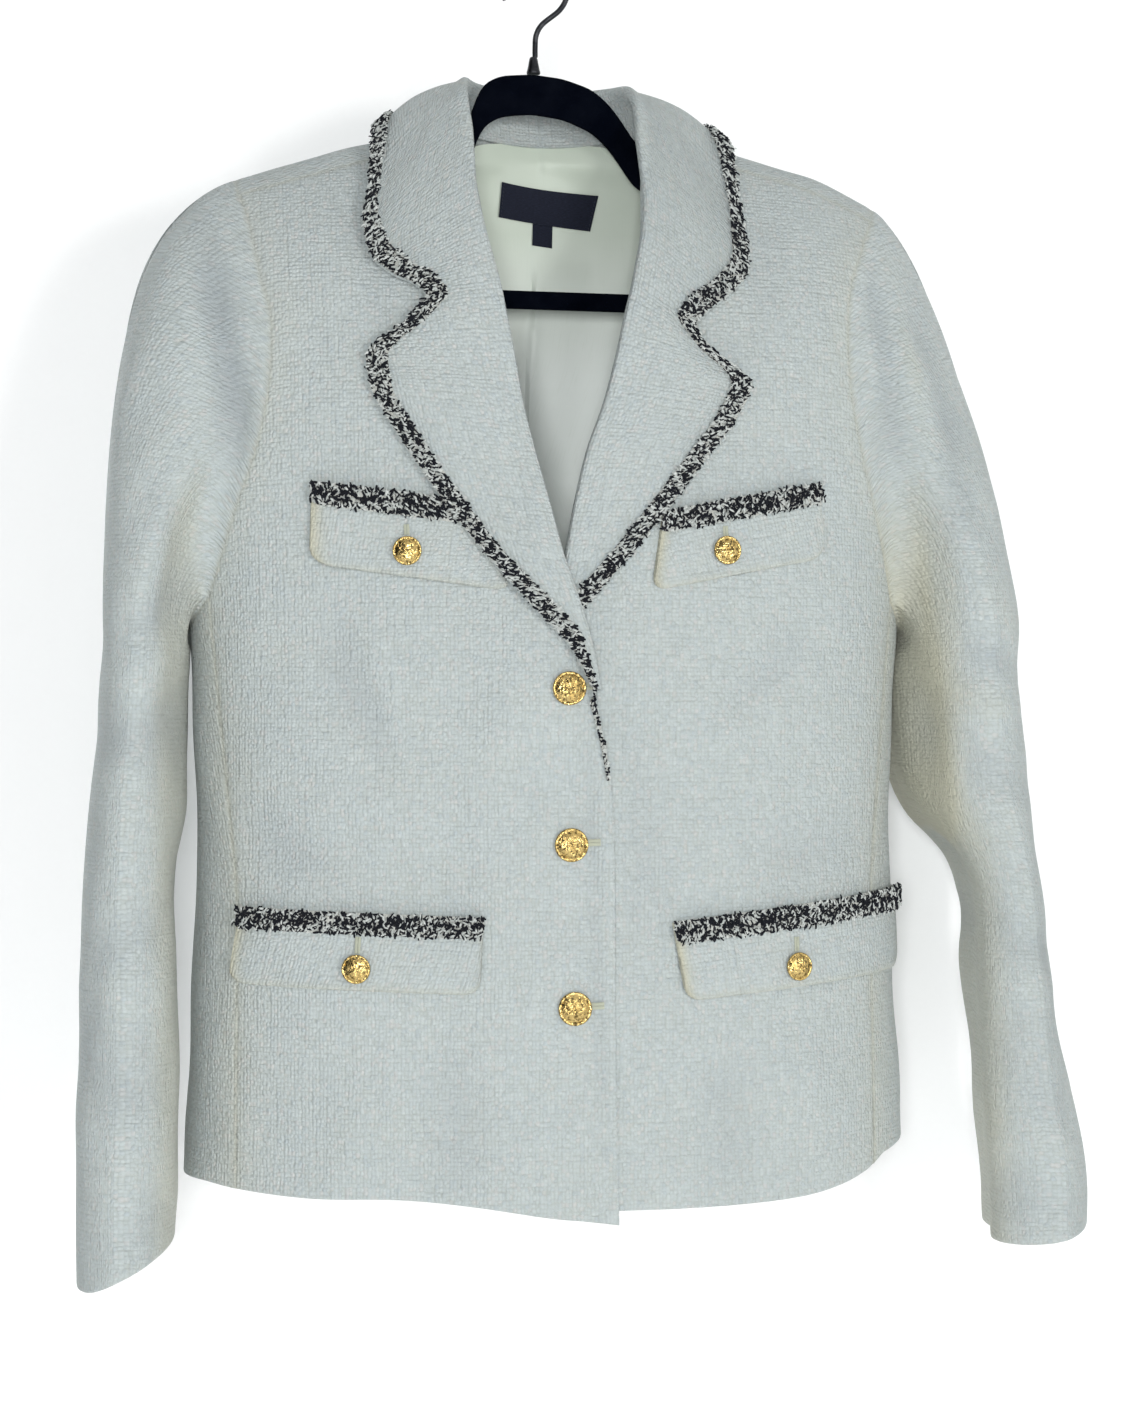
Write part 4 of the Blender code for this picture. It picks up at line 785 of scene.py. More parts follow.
def sleeve_ring(side, row, share):
    """Points of one sleeve ring: share 0 is its outer side, a quarter is its front."""
    z, outer_x, inner_x, middle_y, half_y = row
    cosine, sine = np.cos(2 * np.pi * share), np.sin(2 * np.pi * share)
    across = 0.5 + 0.5 * np.copysign(abs(cosine) ** SLEEVE_SQUARE, cosine)
    forward = np.copysign(abs(sine) ** SLEEVE_SQUARE, sine)
    inner_rise, outer_rise = side_of(side, CUFF_RIGHT, CUFF_LEFT)
    rise = (inner_rise * (1 - across) ** 1.5 + outer_rise * across ** 3) * smooth(z, *CUFF_RISE_FADE)
    x = inner_x + (outer_x - inner_x) * across
    return np.stack([x, middle_y - half_y * forward, z + rise], axis=-1)


def sleeve(side):
    """A tube from the armhole's seam to the cuff; its folds at the underarm and the elbow are added later, on
    the sleeve's wall.
    """
    rows = side_of(side, SLEEVE_RIGHT, SLEEVE_LEFT)
    seam = armhole(side, 34)
    steps = np.linalg.norm(seam - np.roll(seam, 1, axis=0), axis=-1)
    share = np.append(np.cumsum(steps) - steps[0], np.sum(steps)) / np.sum(steps)
    seam = np.concatenate([seam, seam[:1]])
    following, before = [seam[1:], seam[1:2]], [seam[-2:-1], seam[:-1]]
    tangent = unit(np.concatenate(following) - np.concatenate(before))
    leave = unit(np.cross(tangent, outward(seam))) * side_of(side, 1, -1)
    arrive = sleeve_ring(side, rows[0], share)
    z = seam[:, 2]
    low = smooth(z, *UNDERARM_FADE)
    fuller = side_of(side, *HEAD_FULLER) * smooth(z, *HEAD_FULL_FADE)
    out = HEAD_OUT[0] + (HEAD_OUT[1] - HEAD_OUT[0]) * low + fuller
    hang = (HEAD_DOWN[0] + (HEAD_DOWN[1] - HEAD_DOWN[0]) * low) * smooth(z, *HANG_FADE)
    down = hang + HEAD_UNDERARM * low + fuller / 2
    third = arrive + np.stack([0 * z, 0 * z, down], axis=-1)
    controls = [seam, seam + leave * out[:, None], third, arrive]
    grid = []
    for t in HEAD_SHARES:
        weights = ((1 - t) ** 3, 3 * t * (1 - t) ** 2, 3 * t * t * (1 - t), t ** 3)
        grid.append(sum(c * w for c, w in zip(controls, weights)))
    heights = np.linspace(rows[0][0], rows[-1][0], TUBE_ROWS)[1:]
    heights = np.concatenate([heights[:-1], heights[-1] + np.array([3.6, 1.9, 0.7, 0.0])])
    for height in heights:
        row = [height] + [read(rows, height, column) for column in (1, 2, 3, 4)]
        grid.append(sleeve_ring(side, row, share))
    return np.array(grid), share


def eased(base, join):
    """The tube with the bend where its head meets its length smoothed down each column."""
    soft = base.copy()
    for column in range(base.shape[1]):
        line = base[:, column]
        gone = length_along(line)
        even = np.arange(0, gone[-1], 1.0)
        fine = at_lengths(even, gone, line)
        width = np.minimum(EASE_WIDTH * hump(gone - gone[join], EASE_FADE), gone * EASE_FROM_SEAM)
        rows = width > EASE_LEAST
        weights = np.exp(-0.5 * ((even - gone[rows, None]) / width[rows, None]) ** 2)
        near = (weights @ fine) / weights.sum(axis=1, keepdims=True)
        soft[rows, column] += (near - line[rows]) * np.clip(width[rows, None] - EASE_LEAST, 0, 1)
    return soft


def hung(side, base):
    """The tube as it hangs on the body: its inner side fuller, its inner fold further forward."""
    low, high = base.min(axis=1, keepdims=True), base.max(axis=1, keepdims=True)
    place = (2 * base - low - high) / np.maximum(high - low, 1e-6)
    inner = np.clip(place[..., 0] * side_of(side, 1, -1), 0, 1)
    ahead, z = -place[..., 1], base[..., 2]
    fold = side_of(side, *FORWARD_FOLD) * smooth(z, *FORWARD_FADE) * smooth(ahead, -0.2, 0.9)
    loose = np.clip(edge_distance(base, ["top"]) / 22, 0, 1)
    fuller = side_of(side, *INNER_FULLNESS) * loose * smooth(z, *FULLNESS_TOP)
    fuller = fuller * smooth(z, *FULLNESS_FOOT) * smooth(ahead, 0.95, 0.0)
    base[..., 0] += side_of(side, 1, -1) * (fold + fuller) * inner
    return base


def sleeve_wall(side):
    base, share = sleeve(side)
    base = hung(side, eased(base, HEAD_ROWS - 1))
    normals = neighbours(base, ring=True) * side_of(side, -1, 1)
    _, down = lengths_across(base)
    girth = share[None, :] * SLEEVE_GIRTH
    weave = (girth + 0 * down, down[HEAD_ROWS - 1] - down)
    front_share = smooth(-normals[..., 1], -0.5, 0.25)
    x, z = base[..., 0], base[..., 2]
    behind = creased("sleeve", x, z - BEHIND_RISE) * BEHIND_SHARE
    rise = creased("sleeve", x, z) * front_share + behind * (1 - front_share)
    near = edge_distance(base, ["top", "bottom"])
    joined = np.clip(np.minimum(share, 1 - share) * 12, 0, 1)
    rise = rise * np.clip(near / 12, 0, 1) + swelling(*weave) * np.clip(near / 25, 0, 1) * joined
    gathers = np.sin(girth / GATHER_PITCH) * hump(near - 9, 6) * smooth(z, -300, -180)
    rise = rise + HEAD_EASE * (hump(near - 8, 7) * smooth(z, -330, -200) + 0.5 * gathers) * joined
    sunk = sink(base, ["top"])
    rounded = round_off(edge_distance(base, ["bottom"]))
    facing = normals[..., 0] * side_of(side, 1, -1)
    # painted shade: darker in the troughs of the creases and beside the seam
    crease_shade = np.clip(-rise / 6, 0, 1) + sunk * 0.5
    # painted shade: yellower on the side that faces the body, beside the seam, on the left sleeve's raised
    # folds and in the strip under its arm
    deep = 0.5 * smooth(facing, 0.1, 1.0) * smooth(z, -230, -330) + sunk
    if side == "left":
        (edge_x, edge_z), lean = SHADED_EDGE
        under = smooth(x + lean * (z - edge_z), edge_x, edge_x - 10)
        under = under * smooth(z, -300, -390) * smooth(z, -580, -535)
        deep = deep + 0.12 * np.clip(rise - 0.8, 0, 2) + 0.65 * under
    outer = base + normals * (rise - rounded - sunk)[..., None]
    inner = base + normals * (rise * INNER_SHARE - TWEED)[..., None]
    outer[:, -1], inner[:, -1] = outer[:, 0], inner[:, 0]
    deep = np.clip(deep, 0, 1)
    return wall("sleeve_cloth_" + side, outer, inner, weave, ring=True, shade_and_yellowing=deep, fold=crease_shade)


# Collar and lapels

FALL_STEPS = 26        # points down the fall of the collar
FALL_BULGE = 18.0      # four times as far as the middle of the fall swells out
LAPEL_BELLY = 1.6      # how much further the middle of a lapel stands off the front
ROLL_INNER = (-3.4, -4.4)  # where the roll begins inside its crest: out from it and up
ROLL_OUTER = (5.0, -3.0)   # the same where it ends
LAPEL_ROLL = [(0, -2.0), (0, -1.2), (0, -0.1), (0.8, 2.7), (2.8, 3.7)]
ROLL_STEPS = 14        # points over the roll
ROWS_BETWEEN = 7       # fine rows from one section to the next


def curve(values, count):
    """Points on a soft curve through values, evenly by their numbers."""
    keys = np.linspace(0, len(values) - 1, count)
    rows = [(k, *v) for k, v in enumerate(values)]
    return np.stack([read(rows, keys, 1 + axis) for axis in range(len(values[0]))], axis=-1)


def unbent(values, keys):
    """Read rows of values at fractional keys, on a curve that never swings past them."""
    steps = np.diff(values, axis=0)
    slopes = np.zeros_like(values)
    both = steps[:-1] * steps[1:]
    slopes[1:-1] = np.where(both > 0, 2 * both / np.where(both > 0, steps[:-1] + steps[1:], 1), 0)
    slopes[0], slopes[-1] = steps[0], steps[-1]
    i = np.minimum(keys.astype(int), len(values) - 2)
    t = (keys - i).reshape((-1,) + (1,) * (values.ndim - 1))
    eased = values[i] + steps[i] * t * t * (3 - 2 * t)
    return eased + t * (1 - t) ** 2 * slopes[i] + t * t * (t - 1) * slopes[i + 1]


def clearance(p, normal):
    """Distance of points outside the body along their normals."""
    inside = inside_measure(p) <= 0
    sign = np.where(inside, 1.0, -1.0)
    high = np.full(inside.shape, 60.0)
    for step in range(59, 0, -1):
        flipped = (inside_measure(p + normal * (sign * step)[..., None]) <= 0) != inside
        high = np.where(flipped, step, high)
    low = high - 1
    for _ in range(10):
        middle = (low + high) / 2
        same = (inside_measure(p + normal * (sign * middle)[..., None]) <= 0) == inside
        low, high = np.where(same, middle, low), np.where(same, high, middle)
    return -sign * (low + high) / 2


def cleared(p, lift):
    """Push points of the collar out until they stand clear of the body by lift."""
    for _ in range(6):
        normal = outward(p)
        p = p + normal * np.maximum(lift - clearance(p, normal), 0)[..., None]
    return p


def stand_section(rows, k):
    """Section with a stand: up its inside, over a rounded roll and down the fall."""
    foot, crest, end = rows[k]
    along = unit(rows[min(k + 1, len(rows) - 1)][1] - rows[max(k - 1, 0)][1])
    if k == 0:
        along = np.array([math.copysign(1, along[0]), 0, 0])
    out = (end - foot) * (1, 1, 0)
    out = unit(out - along * out.dot(along))
    up = np.cross(along, out)
    up = up * math.copysign(1, up[2])
    start = crest + out * ROLL_OUTER[0] + up * ROLL_OUTER[1]
    inner = crest + out * ROLL_INNER[0] + up * ROLL_INNER[1]
    rolled = curve([foot, (foot + crest) / 2, inner, crest, start], ROLL_STEPS)
    share = np.linspace(0, 1, FALL_STEPS + 1)[1:, None]
    bulge = (out * 0.6 + up * 0.8) * FALL_BULGE * share * (1 - share)
    lift = LAPEL_LIFT + SHOULDER_PUFF * math.sin(math.pi * k / len(rows))
    fall = cleared(start + (end - start) * share + bulge, np.full(FALL_STEPS, lift))
    return np.concatenate([rolled, fall])


def lapel_section(side, row):
    """Section without a stand: from inside the front's edge, round the roll and out over the front."""
    roll, edge = np.array(row[:2]), np.array(row[2:])
    flat = edge - roll
    width = np.linalg.norm(flat)
    flat = flat / width
    rolled = curve(LAPEL_ROLL, ROLL_STEPS)
    share = np.linspace(0, 1, FALL_STEPS + 1)[1:]
    start = LAPEL_ROLL[-1][0]
    distance = np.concatenate([rolled[:, 0], start + (width - start) * share])
    belly = LAPEL_BELLY * np.sin(np.pi * share) * min(width / 60, 1)
    lift = np.concatenate([rolled[:, 1], LAPEL_LIFT + belly])
    return front_point(side, roll[0] + flat[0] * distance, roll[1] + flat[1] * distance, lift)


def collar_grid(side):
    """Fine rows from the centre back, over the shoulder and down the lapel to its break."""
    stand = np.array(side_of(side, STAND_RIGHT, STAND_LEFT), float)
    keys = np.arange(2 * len(stand) - 1) / 2
    columns = [(k, *part.ravel()) for k, part in enumerate(stand)]
    rows = np.stack([read(columns, keys, 1 + c) for c in range(9)], axis=-1).reshape(-1, 3, 3)
    sections = [stand_section(rows, k) for k in range(len(rows))]
    sections += [lapel_section(side, row) for row in side_of(side, LAPEL_RIGHT, LAPEL_LEFT)]
    sections = np.array(sections)
    return unbent(sections, np.linspace(0, len(sections) - 1, (len(sections) - 1) * ROWS_BETWEEN + 1))


def collar(side):
    base = collar_grid(side)
    normals = neighbours(base) * side_of(side, 1, -1)
    normals[0] = unit(normals[0] * (0, 1, 1))
    across, _ = lengths_across(base)
    roll = base[:, ROLL_STEPS]
    along = length_along(roll)
    weave = (across, -along[:, None] + 0 * across)
    near = edge_distance(base, ["right"])
    rounded = round_off(near)
    soft = swelling(*weave) * 0.7 * np.clip(near / 30, 0, 1) * smooth(across, 14, 30)
    outer = base + normals * (soft - rounded)[..., None]
    piece = wall("collar_cloth_" + side, outer, base - normals * 1.5, weave)
    return piece, base, normals


# Flaps

def flap_spots(name, across, down):
    """x and z over a flap, with its lower corners rounded off."""
    a, b, c, d = (np.array(corner, float) for corner in FLAPS[name])
    top, bottom = a + (b - a) * across[..., None], c + (d - c) * across[..., None]
    near = np.minimum(across, 1 - across) * np.linalg.norm(b - a)
    lost = FLAP_ROUND - np.sqrt(np.maximum(FLAP_ROUND ** 2 - np.maximum(FLAP_ROUND - near, 0) ** 2, 0))
    bottom = bottom + unit(top - bottom) * lost[..., None]
    spot = top + (bottom - top) * down[..., None]
    return spot[..., 0], spot[..., 1]


def under_lapel(side, x, z):
    """How far inside its lapel's edge a place of a front lies; negative where it is free."""
    rows = side_of(side, LAPEL_RIGHT, LAPEL_LEFT)[NOTCH_ROW:]
    edges = sorted((z, x) for _, _, x, z in rows)
    return (x - np.interp(z, *zip(*edges))) * side_of(side, 1, -1)


def flap_point(name, across, down, lift):
    """Points of a flap; where it runs under the lapel it lies flatter."""
    x, z = flap_spots(name, across, down)
    side = name.split("_")[-1]
    flatter = 1.0 - 0.42 * smooth(under_lapel(side, x, z), -9, 1) * (name.startswith("chest"))
    return front_point(side, x, z, lift * flatter)


def flap(name):
    """A flap lying on its panel, a little proud along its lower edge, with its seam pressed flat."""
    a, b = FLAPS[name][:2]
    reach = math.dist(a, b)
    across, down = np.meshgrid(ticks(int(reach / 3), reach=reach), ticks(18, reach=FLAP_DEPTH))
    base = flap_point(name, across, down, np.zeros(across.shape))
    lengths = lengths_across(base)
    near = edge_distance(base, ["left", "right", "bottom"])
    pressed = 0.35 * hump(near - 6.5, 1.6)
    lower = 0.3 * smooth(down, 0.3, 1.0) * (1 + 0.8 * np.sin(across * 9 + reach))
    button_dip = 0.7 * hump((across - 0.5) * reach, 16) * hump((down - 0.62) * FLAP_DEPTH, 13)
    rounded = round_off(near)
    rise = FLAP_LIFT + lower - pressed - button_dip + 0.3 * swelling(lengths[0] * 2, lengths[1] * 2)
    outer = flap_point(name, across, down, rise - rounded)
    inner = flap_point(name, across, down, rise - 2.7)
    outer_side = across if name.endswith("right") else 1 - across
    # painted shade: yellower at the flap's end with the lower x and along its edges
    deep = 0.9 * hump(outer_side * reach, 5) + 0.35 * hump(near, 3)
    weave = (lengths[0] + a[0], a[1] - lengths[1])
    return wall(name + "_cloth", outer, inner, weave, shade_and_yellowing=np.clip(deep, 0, 1))


# Tufted braid

def strands(name, places, tones):
    """Short bent threads as one mesh. Each place is (centre, along, up, length, radius, arch)."""
    rings = [(-0.5, 0.0), (-0.44, 0.8), (-0.15, 1.0), (0.2, 1.0), (0.46, 0.75), (0.5, 0.0)]
    sides = 4
    rows = len(rings)
    bm = grid_mesh(sides + 1, rows * len(places))
    tone = bm.verts.layers.float.new("tone")
    centre, along, up, length, radius, arch = (np.array(part, float) for part in zip(*places))
    across = unit(np.cross(along, up))
    share = np.array([ring[0] for ring in rings])
    swell = np.array([ring[1] for ring in rings])
    turns = np.arange(sides + 1) % sides * 2 * np.pi / sides
    spine = centre[:, None] + along[:, None] * (share[:, None] * length[:, None, None])
    spine = spine + up[:, None] * ((0.25 - share ** 2)[:, None] * 4 * arch[:, None, None])
    around = across[:, None, None] * np.cos(turns)[:, None] + up[:, None, None] * np.sin(turns)[:, None]
    points = spine[:, :, None] + around * (swell[:, None, None] * radius[:, None, None, None])
    points = points.reshape(-1, 3) * MM
    for index, vert in enumerate(bm.verts):
        vert.co = points[index]
        vert[tone] = tones[index // ((sides + 1) * rows)]
    between = []
    for face in bm.faces:
        owners = {v.index // ((sides + 1) * rows) for v in face.verts}
        if len(owners) > 1:
            between.append(face)
    bmesh.ops.delete(bm, geom=between, context="FACES")
    bmesh.ops.remove_doubles(bm, verts=bm.verts, dist=1e-7)
    return finished(name, bm, 80)


TUFT_REACH = 1.5       # how far a tuft reaches beyond its middle, to be clear of what covers it
TUFT_DENSITY = 0.44    # strands on each square millimetre
TUFT_LENGTHS = (2.2, 4.4)
TUFT_RADII = (0.36, 0.62)
BLACK_THICKER = 1.15   # how much thicker the black strands are
DARK_SHARE = 0.47      # share of the strands that are black, and how much it rises in clusters
DARKER_CLUSTERS = 0.14
TUFT_LIFT = 1.6        # foot of the tufts above the foot of the braid


def under_front(p):
    """Whether the right front covers a tuft on the left collar."""
    return p[2] < LAP_START[0] and p[0] < read(FRONT_EDGES, p[2]) + TUFT_REACH


def below_lapel(side):
    """A test for whether the lapel covers a tuft on a chest flap."""
    def covered(p):
        return under_lapel(side, p[0], p[2]) > -TUFT_REACH
    return covered


def braid_tufts(name, spots, normals, cord, seed, covered=None):
    """Black and cream tufts over a strip; spots and normals are grids with rows along its length.

    There are no tufts where covered says that other cloth lies over the strip.
    """
    chance = random.Random(seed)
    rows, columns = spots.shape[:2]
    places, tones = [], []
    for k in range(rows - 1):
        area = math.dist(spots[k + 1, 0], spots[k, 0]) + math.dist(spots[k + 1, -1], spots[k, -1])
        area *= math.dist(spots[k, -1], spots[k, 0]) / 2
        wanted = area * TUFT_DENSITY
        for _ in range(int(wanted) + (chance.random() < wanted % 1)):
            u, w = chance.random(), chance.random() ** 0.9
            column = min(int(w * (columns - 1)), columns - 2)
            t = w * (columns - 1) - column
            p = spots[k] * (1 - u) + spots[k + 1] * u
            n = unit(normals[k, column])
            centre = p[column] * (1 - t) + p[column + 1] * t
            across = unit(p[-1] - p[0])
            along = unit(spots[k + 1, column] - spots[k, column])
            slant = chance.gauss(0.1, 0.85)
            lie = unit(across * math.cos(slant) + along * math.sin(slant) + n * chance.uniform(-0.1, 0.35))
            middle = 1 - abs(2 * w - 1)
            length = chance.uniform(*TUFT_LENGTHS) * min(1.0, 0.45 + math.dist(p[-1], p[0]) / 14)
            radius = chance.uniform(*TUFT_RADII)
            arch = chance.uniform(0.2, 0.9)
            if covered and covered(centre):
                continue
            up = unit(n - lie * n.dot(lie))
            places.append((centre + n * chance.uniform(-0.2, 1.6), lie, up, length, radius, arch))
            cluster = 0.5 + 0.5 * math.sin(k * 0.9 + 2.2 * math.sin(k * 0.37 + seed) + 5 * w)
            dark = DARK_SHARE + DARKER_CLUSTERS * cluster * (0.3 + middle) + cord * hump(w - 0.45, 0.1)
            black = chance.random() < dark
            if black:
                places[-1] = (*places[-1][:4], radius * BLACK_THICKER, arch)
            tones.append(1.0 if black else chance.uniform(0.0, 0.12))
    return strands(name, places, tones)


def collar_braid(side, base, normals):
    """Points and normals of the braid along the collar's edge, and down the right front's edge."""
    last = side_of(side, len(base), int(LEFT_BRAID_END * ROWS_BETWEEN))
    spots, ups = [], []
    for line, row in zip(base[:last], normals[:last]):
        fall, lean = line[ROLL_STEPS:][::-1], row[ROLL_STEPS:][::-1]
        back = length_along(fall)
        width = min(COLLAR_BRAID_WIDTH, 0.7 * back[-1])
        at = np.linspace(1.0, width + 1.0, BRAID_COLUMNS)
        spots.append(at_lengths(at, back, fall))
        ups.append(at_lengths(at, back, lean))
    if side == "right":
        for z in np.linspace(RIGHT_BRAID_TAIL[0][0], RIGHT_BRAID_TAIL[-1][0], 16):
            width = read(RIGHT_BRAID_TAIL, z)
            x = read(FRONT_EDGES, z) - np.linspace(1.2, 1.2 + width * 0.6, BRAID_COLUMNS)
            flat = front_point(side, x, np.full(BRAID_COLUMNS, z), 0.4)
            spots.append(flat)
            ups.append(outward(flat))
    return np.array(spots), np.array(ups)


def braid_strip(name, spots, ups):
    """The flat braid, arched across its width."""
    arch = BRAID_ARCH * np.sin(np.linspace(0.25, math.pi - 0.25, BRAID_COLUMNS))[None, :, None]
    outer, inner = spots + ups * (BRAID_LIFTS[1] + arch), spots + ups * BRAID_LIFTS[0]
    return wall(name, outer, inner, lengths_across(spots))


# Buttons, buttonholes and label

STITCH_PITCH = 0.55    # of the stitches along a buttonhole
STITCH_RADIUS = 0.34
LABEL_STITCH_RADIUS = 0.16
STITCH_ARCH = 0.12
BUTTON_TURNS = 64
BUTTON_STEPS = [  # radius and height, as shares of the button's radius
    (0.0, 0.0), (0.86, 0.0), (0.97, 0.05), (1.0, 0.12), (0.99, 0.20), (0.95, 0.25), (0.90, 0.262),
    (0.86, 0.25), (0.83, 0.235), (0.80, 0.25), (0.74, 0.30), (0.66, 0.345), (0.58, 0.385), (0.50, 0.415),
    (0.42, 0.44), (0.34, 0.46), (0.26, 0.476), (0.18, 0.488), (0.10, 0.496), (0.0, 0.50),
]


def button(name, side, spot, radius, lift):
    """A domed shank button: a roped rim, a groove and a raised leafy relief on its crown."""
    bm = grid_mesh(BUTTON_TURNS + 1, len(BUTTON_STEPS))
    seat = front_point(side, np.array(spot[0], float), np.array(spot[1], float), lift)
    turn = Vector((0, 0, 1)).rotation_difference(Vector(outward(seat))).to_matrix()
    for index, vert in enumerate(bm.verts):
        row, column = divmod(index, BUTTON_TURNS + 1)
        share, height = BUTTON_STEPS[row]
        a = 2 * math.pi * (column % BUTTON_TURNS) / BUTTON_TURNS
        rope = 0.018 * math.sin(a * 26 + 40 * share) * hump(share - 0.91, 0.05) * (height > 0.1)
        crown = max(0.0, 1 - (share / 0.78) ** 4) * (height > 0.3)
        petals = 0.030 * math.cos(3 * a + 1.1) * math.sin(math.pi * min(share / 0.74, 1.0))
        leaves = 0.022 * math.sin(7 * a + 9 * share) * math.sin(2 * math.pi * min(share / 0.74, 1.0))
        height += rope + crown * (petals + leaves)
        local = Vector((share * math.cos(a), share * math.sin(a), height)) * radius
        vert.co = (turn @ local + Vector(seat)) * MM
    bmesh.ops.remove_doubles(bm, verts=bm.verts, dist=1e-6)
    return finished(name, bm, 35)


def thread_bar(side, start, end, length, lift, seed):
    """Places of short threads laid side by side across a line from start to end."""
    chance = random.Random(seed)
    start, end = np.array(start, float), np.array(end, float)
    count = int(math.dist(start, end) / STITCH_PITCH)
    line = (end - start) / np.linalg.norm(end - start)
    places = []
    for lip in (-1, 1):
        for k in range(count):
            spot = start + (end - start) * (k + 0.5) / count
            spot = spot + np.array([-line[1], line[0]]) * lip * length * 0.5
            centre = front_point(side, *spot, lift)
            normal = outward(centre)
            lie = np.array([-line[1], 0, line[0]])
            lie = unit(lie - normal * normal.dot(lie))
            reach = length * chance.uniform(0.95, 1.2)
            places.append((centre, lie, normal, reach, STITCH_RADIUS, STITCH_ARCH))
    return places


def slip(name, corners, lift, curl):
    """A woven slip lying on the lining, its ends turned under and lifting a little between stitches."""
    a, b, c, d = (np.array(corner, float) for corner in corners)
    across, down = np.linspace(0, 1, 42)[None, :, None], np.linspace(0, 1, 18)[:, None, None]
    spot = (a + (b - a) * across) * (1 - down) + (c + (d - c) * across) * down
    edge = np.minimum(across, 1 - across)[..., 0] * np.linalg.norm(b - a)
    bow = curl * np.sin(np.pi * across[..., 0]) * (0.4 + 0.6 * np.sin(np.pi * down[..., 0] * 0.9))
    fold = 0.35 * hump(edge, 1.6)
    seat = on_face(spot[..., 0], spot[..., 1], 1)
    slope = outward(seat)[..., 1]
    face, back_face = seat.copy(), seat.copy()
    face[..., 1] += (lift - bow - fold) / slope
    back_face[..., 1] += (lift + 0.35 - bow) / slope
    return wall(name, face, back_face, lengths_across(face))


def label_stitches(lift):
    """Places of the short stitches down both ends of the label."""
    corners = np.array(LABEL, float)
    places = []
    for start, end, other in ((0, 2, 1), (1, 3, 0)):
        inward = unit(corners[other] - corners[start]) * STITCH_INSET
        for share in np.linspace(0.06, 0.94, STITCHES):
            x, z = corners[start] + (corners[end] - corners[start]) * share + inward
            seat = on_face(x, z, 1)
            normal = outward(seat)
            seat[1] += lift / normal[1]
            lie = unit(np.array([0.12, 0, -1.0]))
            places.append((seat, lie, -normal, 1.5, LABEL_STITCH_RADIUS, STITCH_ARCH))
    return places


# Hanger

def sweep(name, sections):
    """A closed tube through rings of points given as an array, rounded to a point at its ends."""
    rows, sides = sections.shape[:2]
    ends = [np.repeat(sections[k].mean(axis=0)[None], sides, axis=0) for k in (0, -1)]
    sections = np.concatenate([ends[0][None], sections, ends[1][None]])
    sections = np.concatenate([sections, sections[:, :1]], axis=1)
    bm = grid_mesh(sides + 1, rows + 2)
    flat = sections.reshape(-1, 3) * MM
    for index, vert in enumerate(bm.verts):
        vert.co = flat[index]
    bmesh.ops.remove_doubles(bm, verts=bm.verts, dist=1e-7)
    return finished(name, bm)


def oval(count, power):
    """Half sizes from -1 to 1 round a rod; a power under 1 squares it."""
    a = np.arange(count) * 2 * np.pi / count
    return np.copysign(abs(np.cos(a)) ** power, np.cos(a)), np.copysign(abs(np.sin(a)) ** power, np.sin(a))


def hanger_arms():
    """The flocked arms and arch, from one tip to the other."""
    keys, tops, depths = (list(column) for column in zip(*ARMS))
    for k, x in enumerate(keys):
        tops[k] = float(read(RIDGE, x) - HANGER_DROP) if tops[k] is None else tops[k]
    y, up = oval(28, 0.62)
    sections = []
    tip = np.array([0.0, 0.9, 2.1])
    between = np.linspace(keys[0] + 4, keys[-1] - 4, 150)
    for x in np.concatenate([keys[0] + tip, between, keys[-1] - tip[::-1]]):
        top, depth = np.interp(x, keys, tops), np.interp(x, keys, depths)
        near = min(x - keys[0], keys[-1] - x)
        shrink = math.sqrt(1 - max(1 - near / 5, 0) ** 2 * 0.8)
        height = top - depth / 2 + up * depth / 2 * shrink
        sections.append(np.stack([x + 0 * y, y * HANGER_WALL / 2 * shrink, height], axis=-1))
    smoothed = np.array(sections)
    for _ in range(3):
        smoothed[1:-1] = (smoothed[:-2] + 2 * smoothed[1:-1] + smoothed[2:]) / 4
    return sweep("hanger_velvet", smoothed)


def route_sweep(name, route, half_across, half_deep, power, sides):
    """A rod along a route in the hanger's plane: half sizes across the route and from front to back."""
    along = unit(np.gradient(route, axis=0))
    y, w = oval(sides, power)
    across = np.stack([-along[:, 1], along[:, 0]], axis=-1)
    flat = route[:, None] + across[:, None] * (w * half_across)[:, None]
    depth = np.broadcast_to(y * half_deep, flat.shape[:2])
    return sweep(name, np.stack([flat[..., 0], depth, flat[..., 1]], axis=-1))


def hook_route():
    radius = HOOK_RADIUS + WIRE_RADIUS
    a = np.radians(np.linspace(CIRCLE_START, HOOK_TIP_TURN, 72))
    ring = np.stack([radius * np.cos(a), -HOOK_RADIUS + radius * np.sin(a)], axis=-1)
    stem = curve([(0.0, STEM_FOOT), *STEM_BEND, tuple(ring[0])], 26)
    return np.concatenate([stem[:-1], ring])


def ferrule():
    """The small turned collar round the foot of the wire."""
    high = STEM_FOOT - 0.3
    y, w = oval(24, 1.0)
    sections = []
    for share in np.linspace(0, 1, 12):
        radius = FERRULE_RADII[0] + (FERRULE_RADII[1] - FERRULE_RADII[0]) * share ** 0.7
        radius *= 1 - 0.12 * (share in (0.0, 1.0))
        z = FERRULE_FOOT + (high - FERRULE_FOOT) * share
        sections.append(np.stack([-1.0 + w * radius, y * radius, z + 0 * y], axis=-1))
    return sweep("hanger_collar", np.array(sections))


# Materials

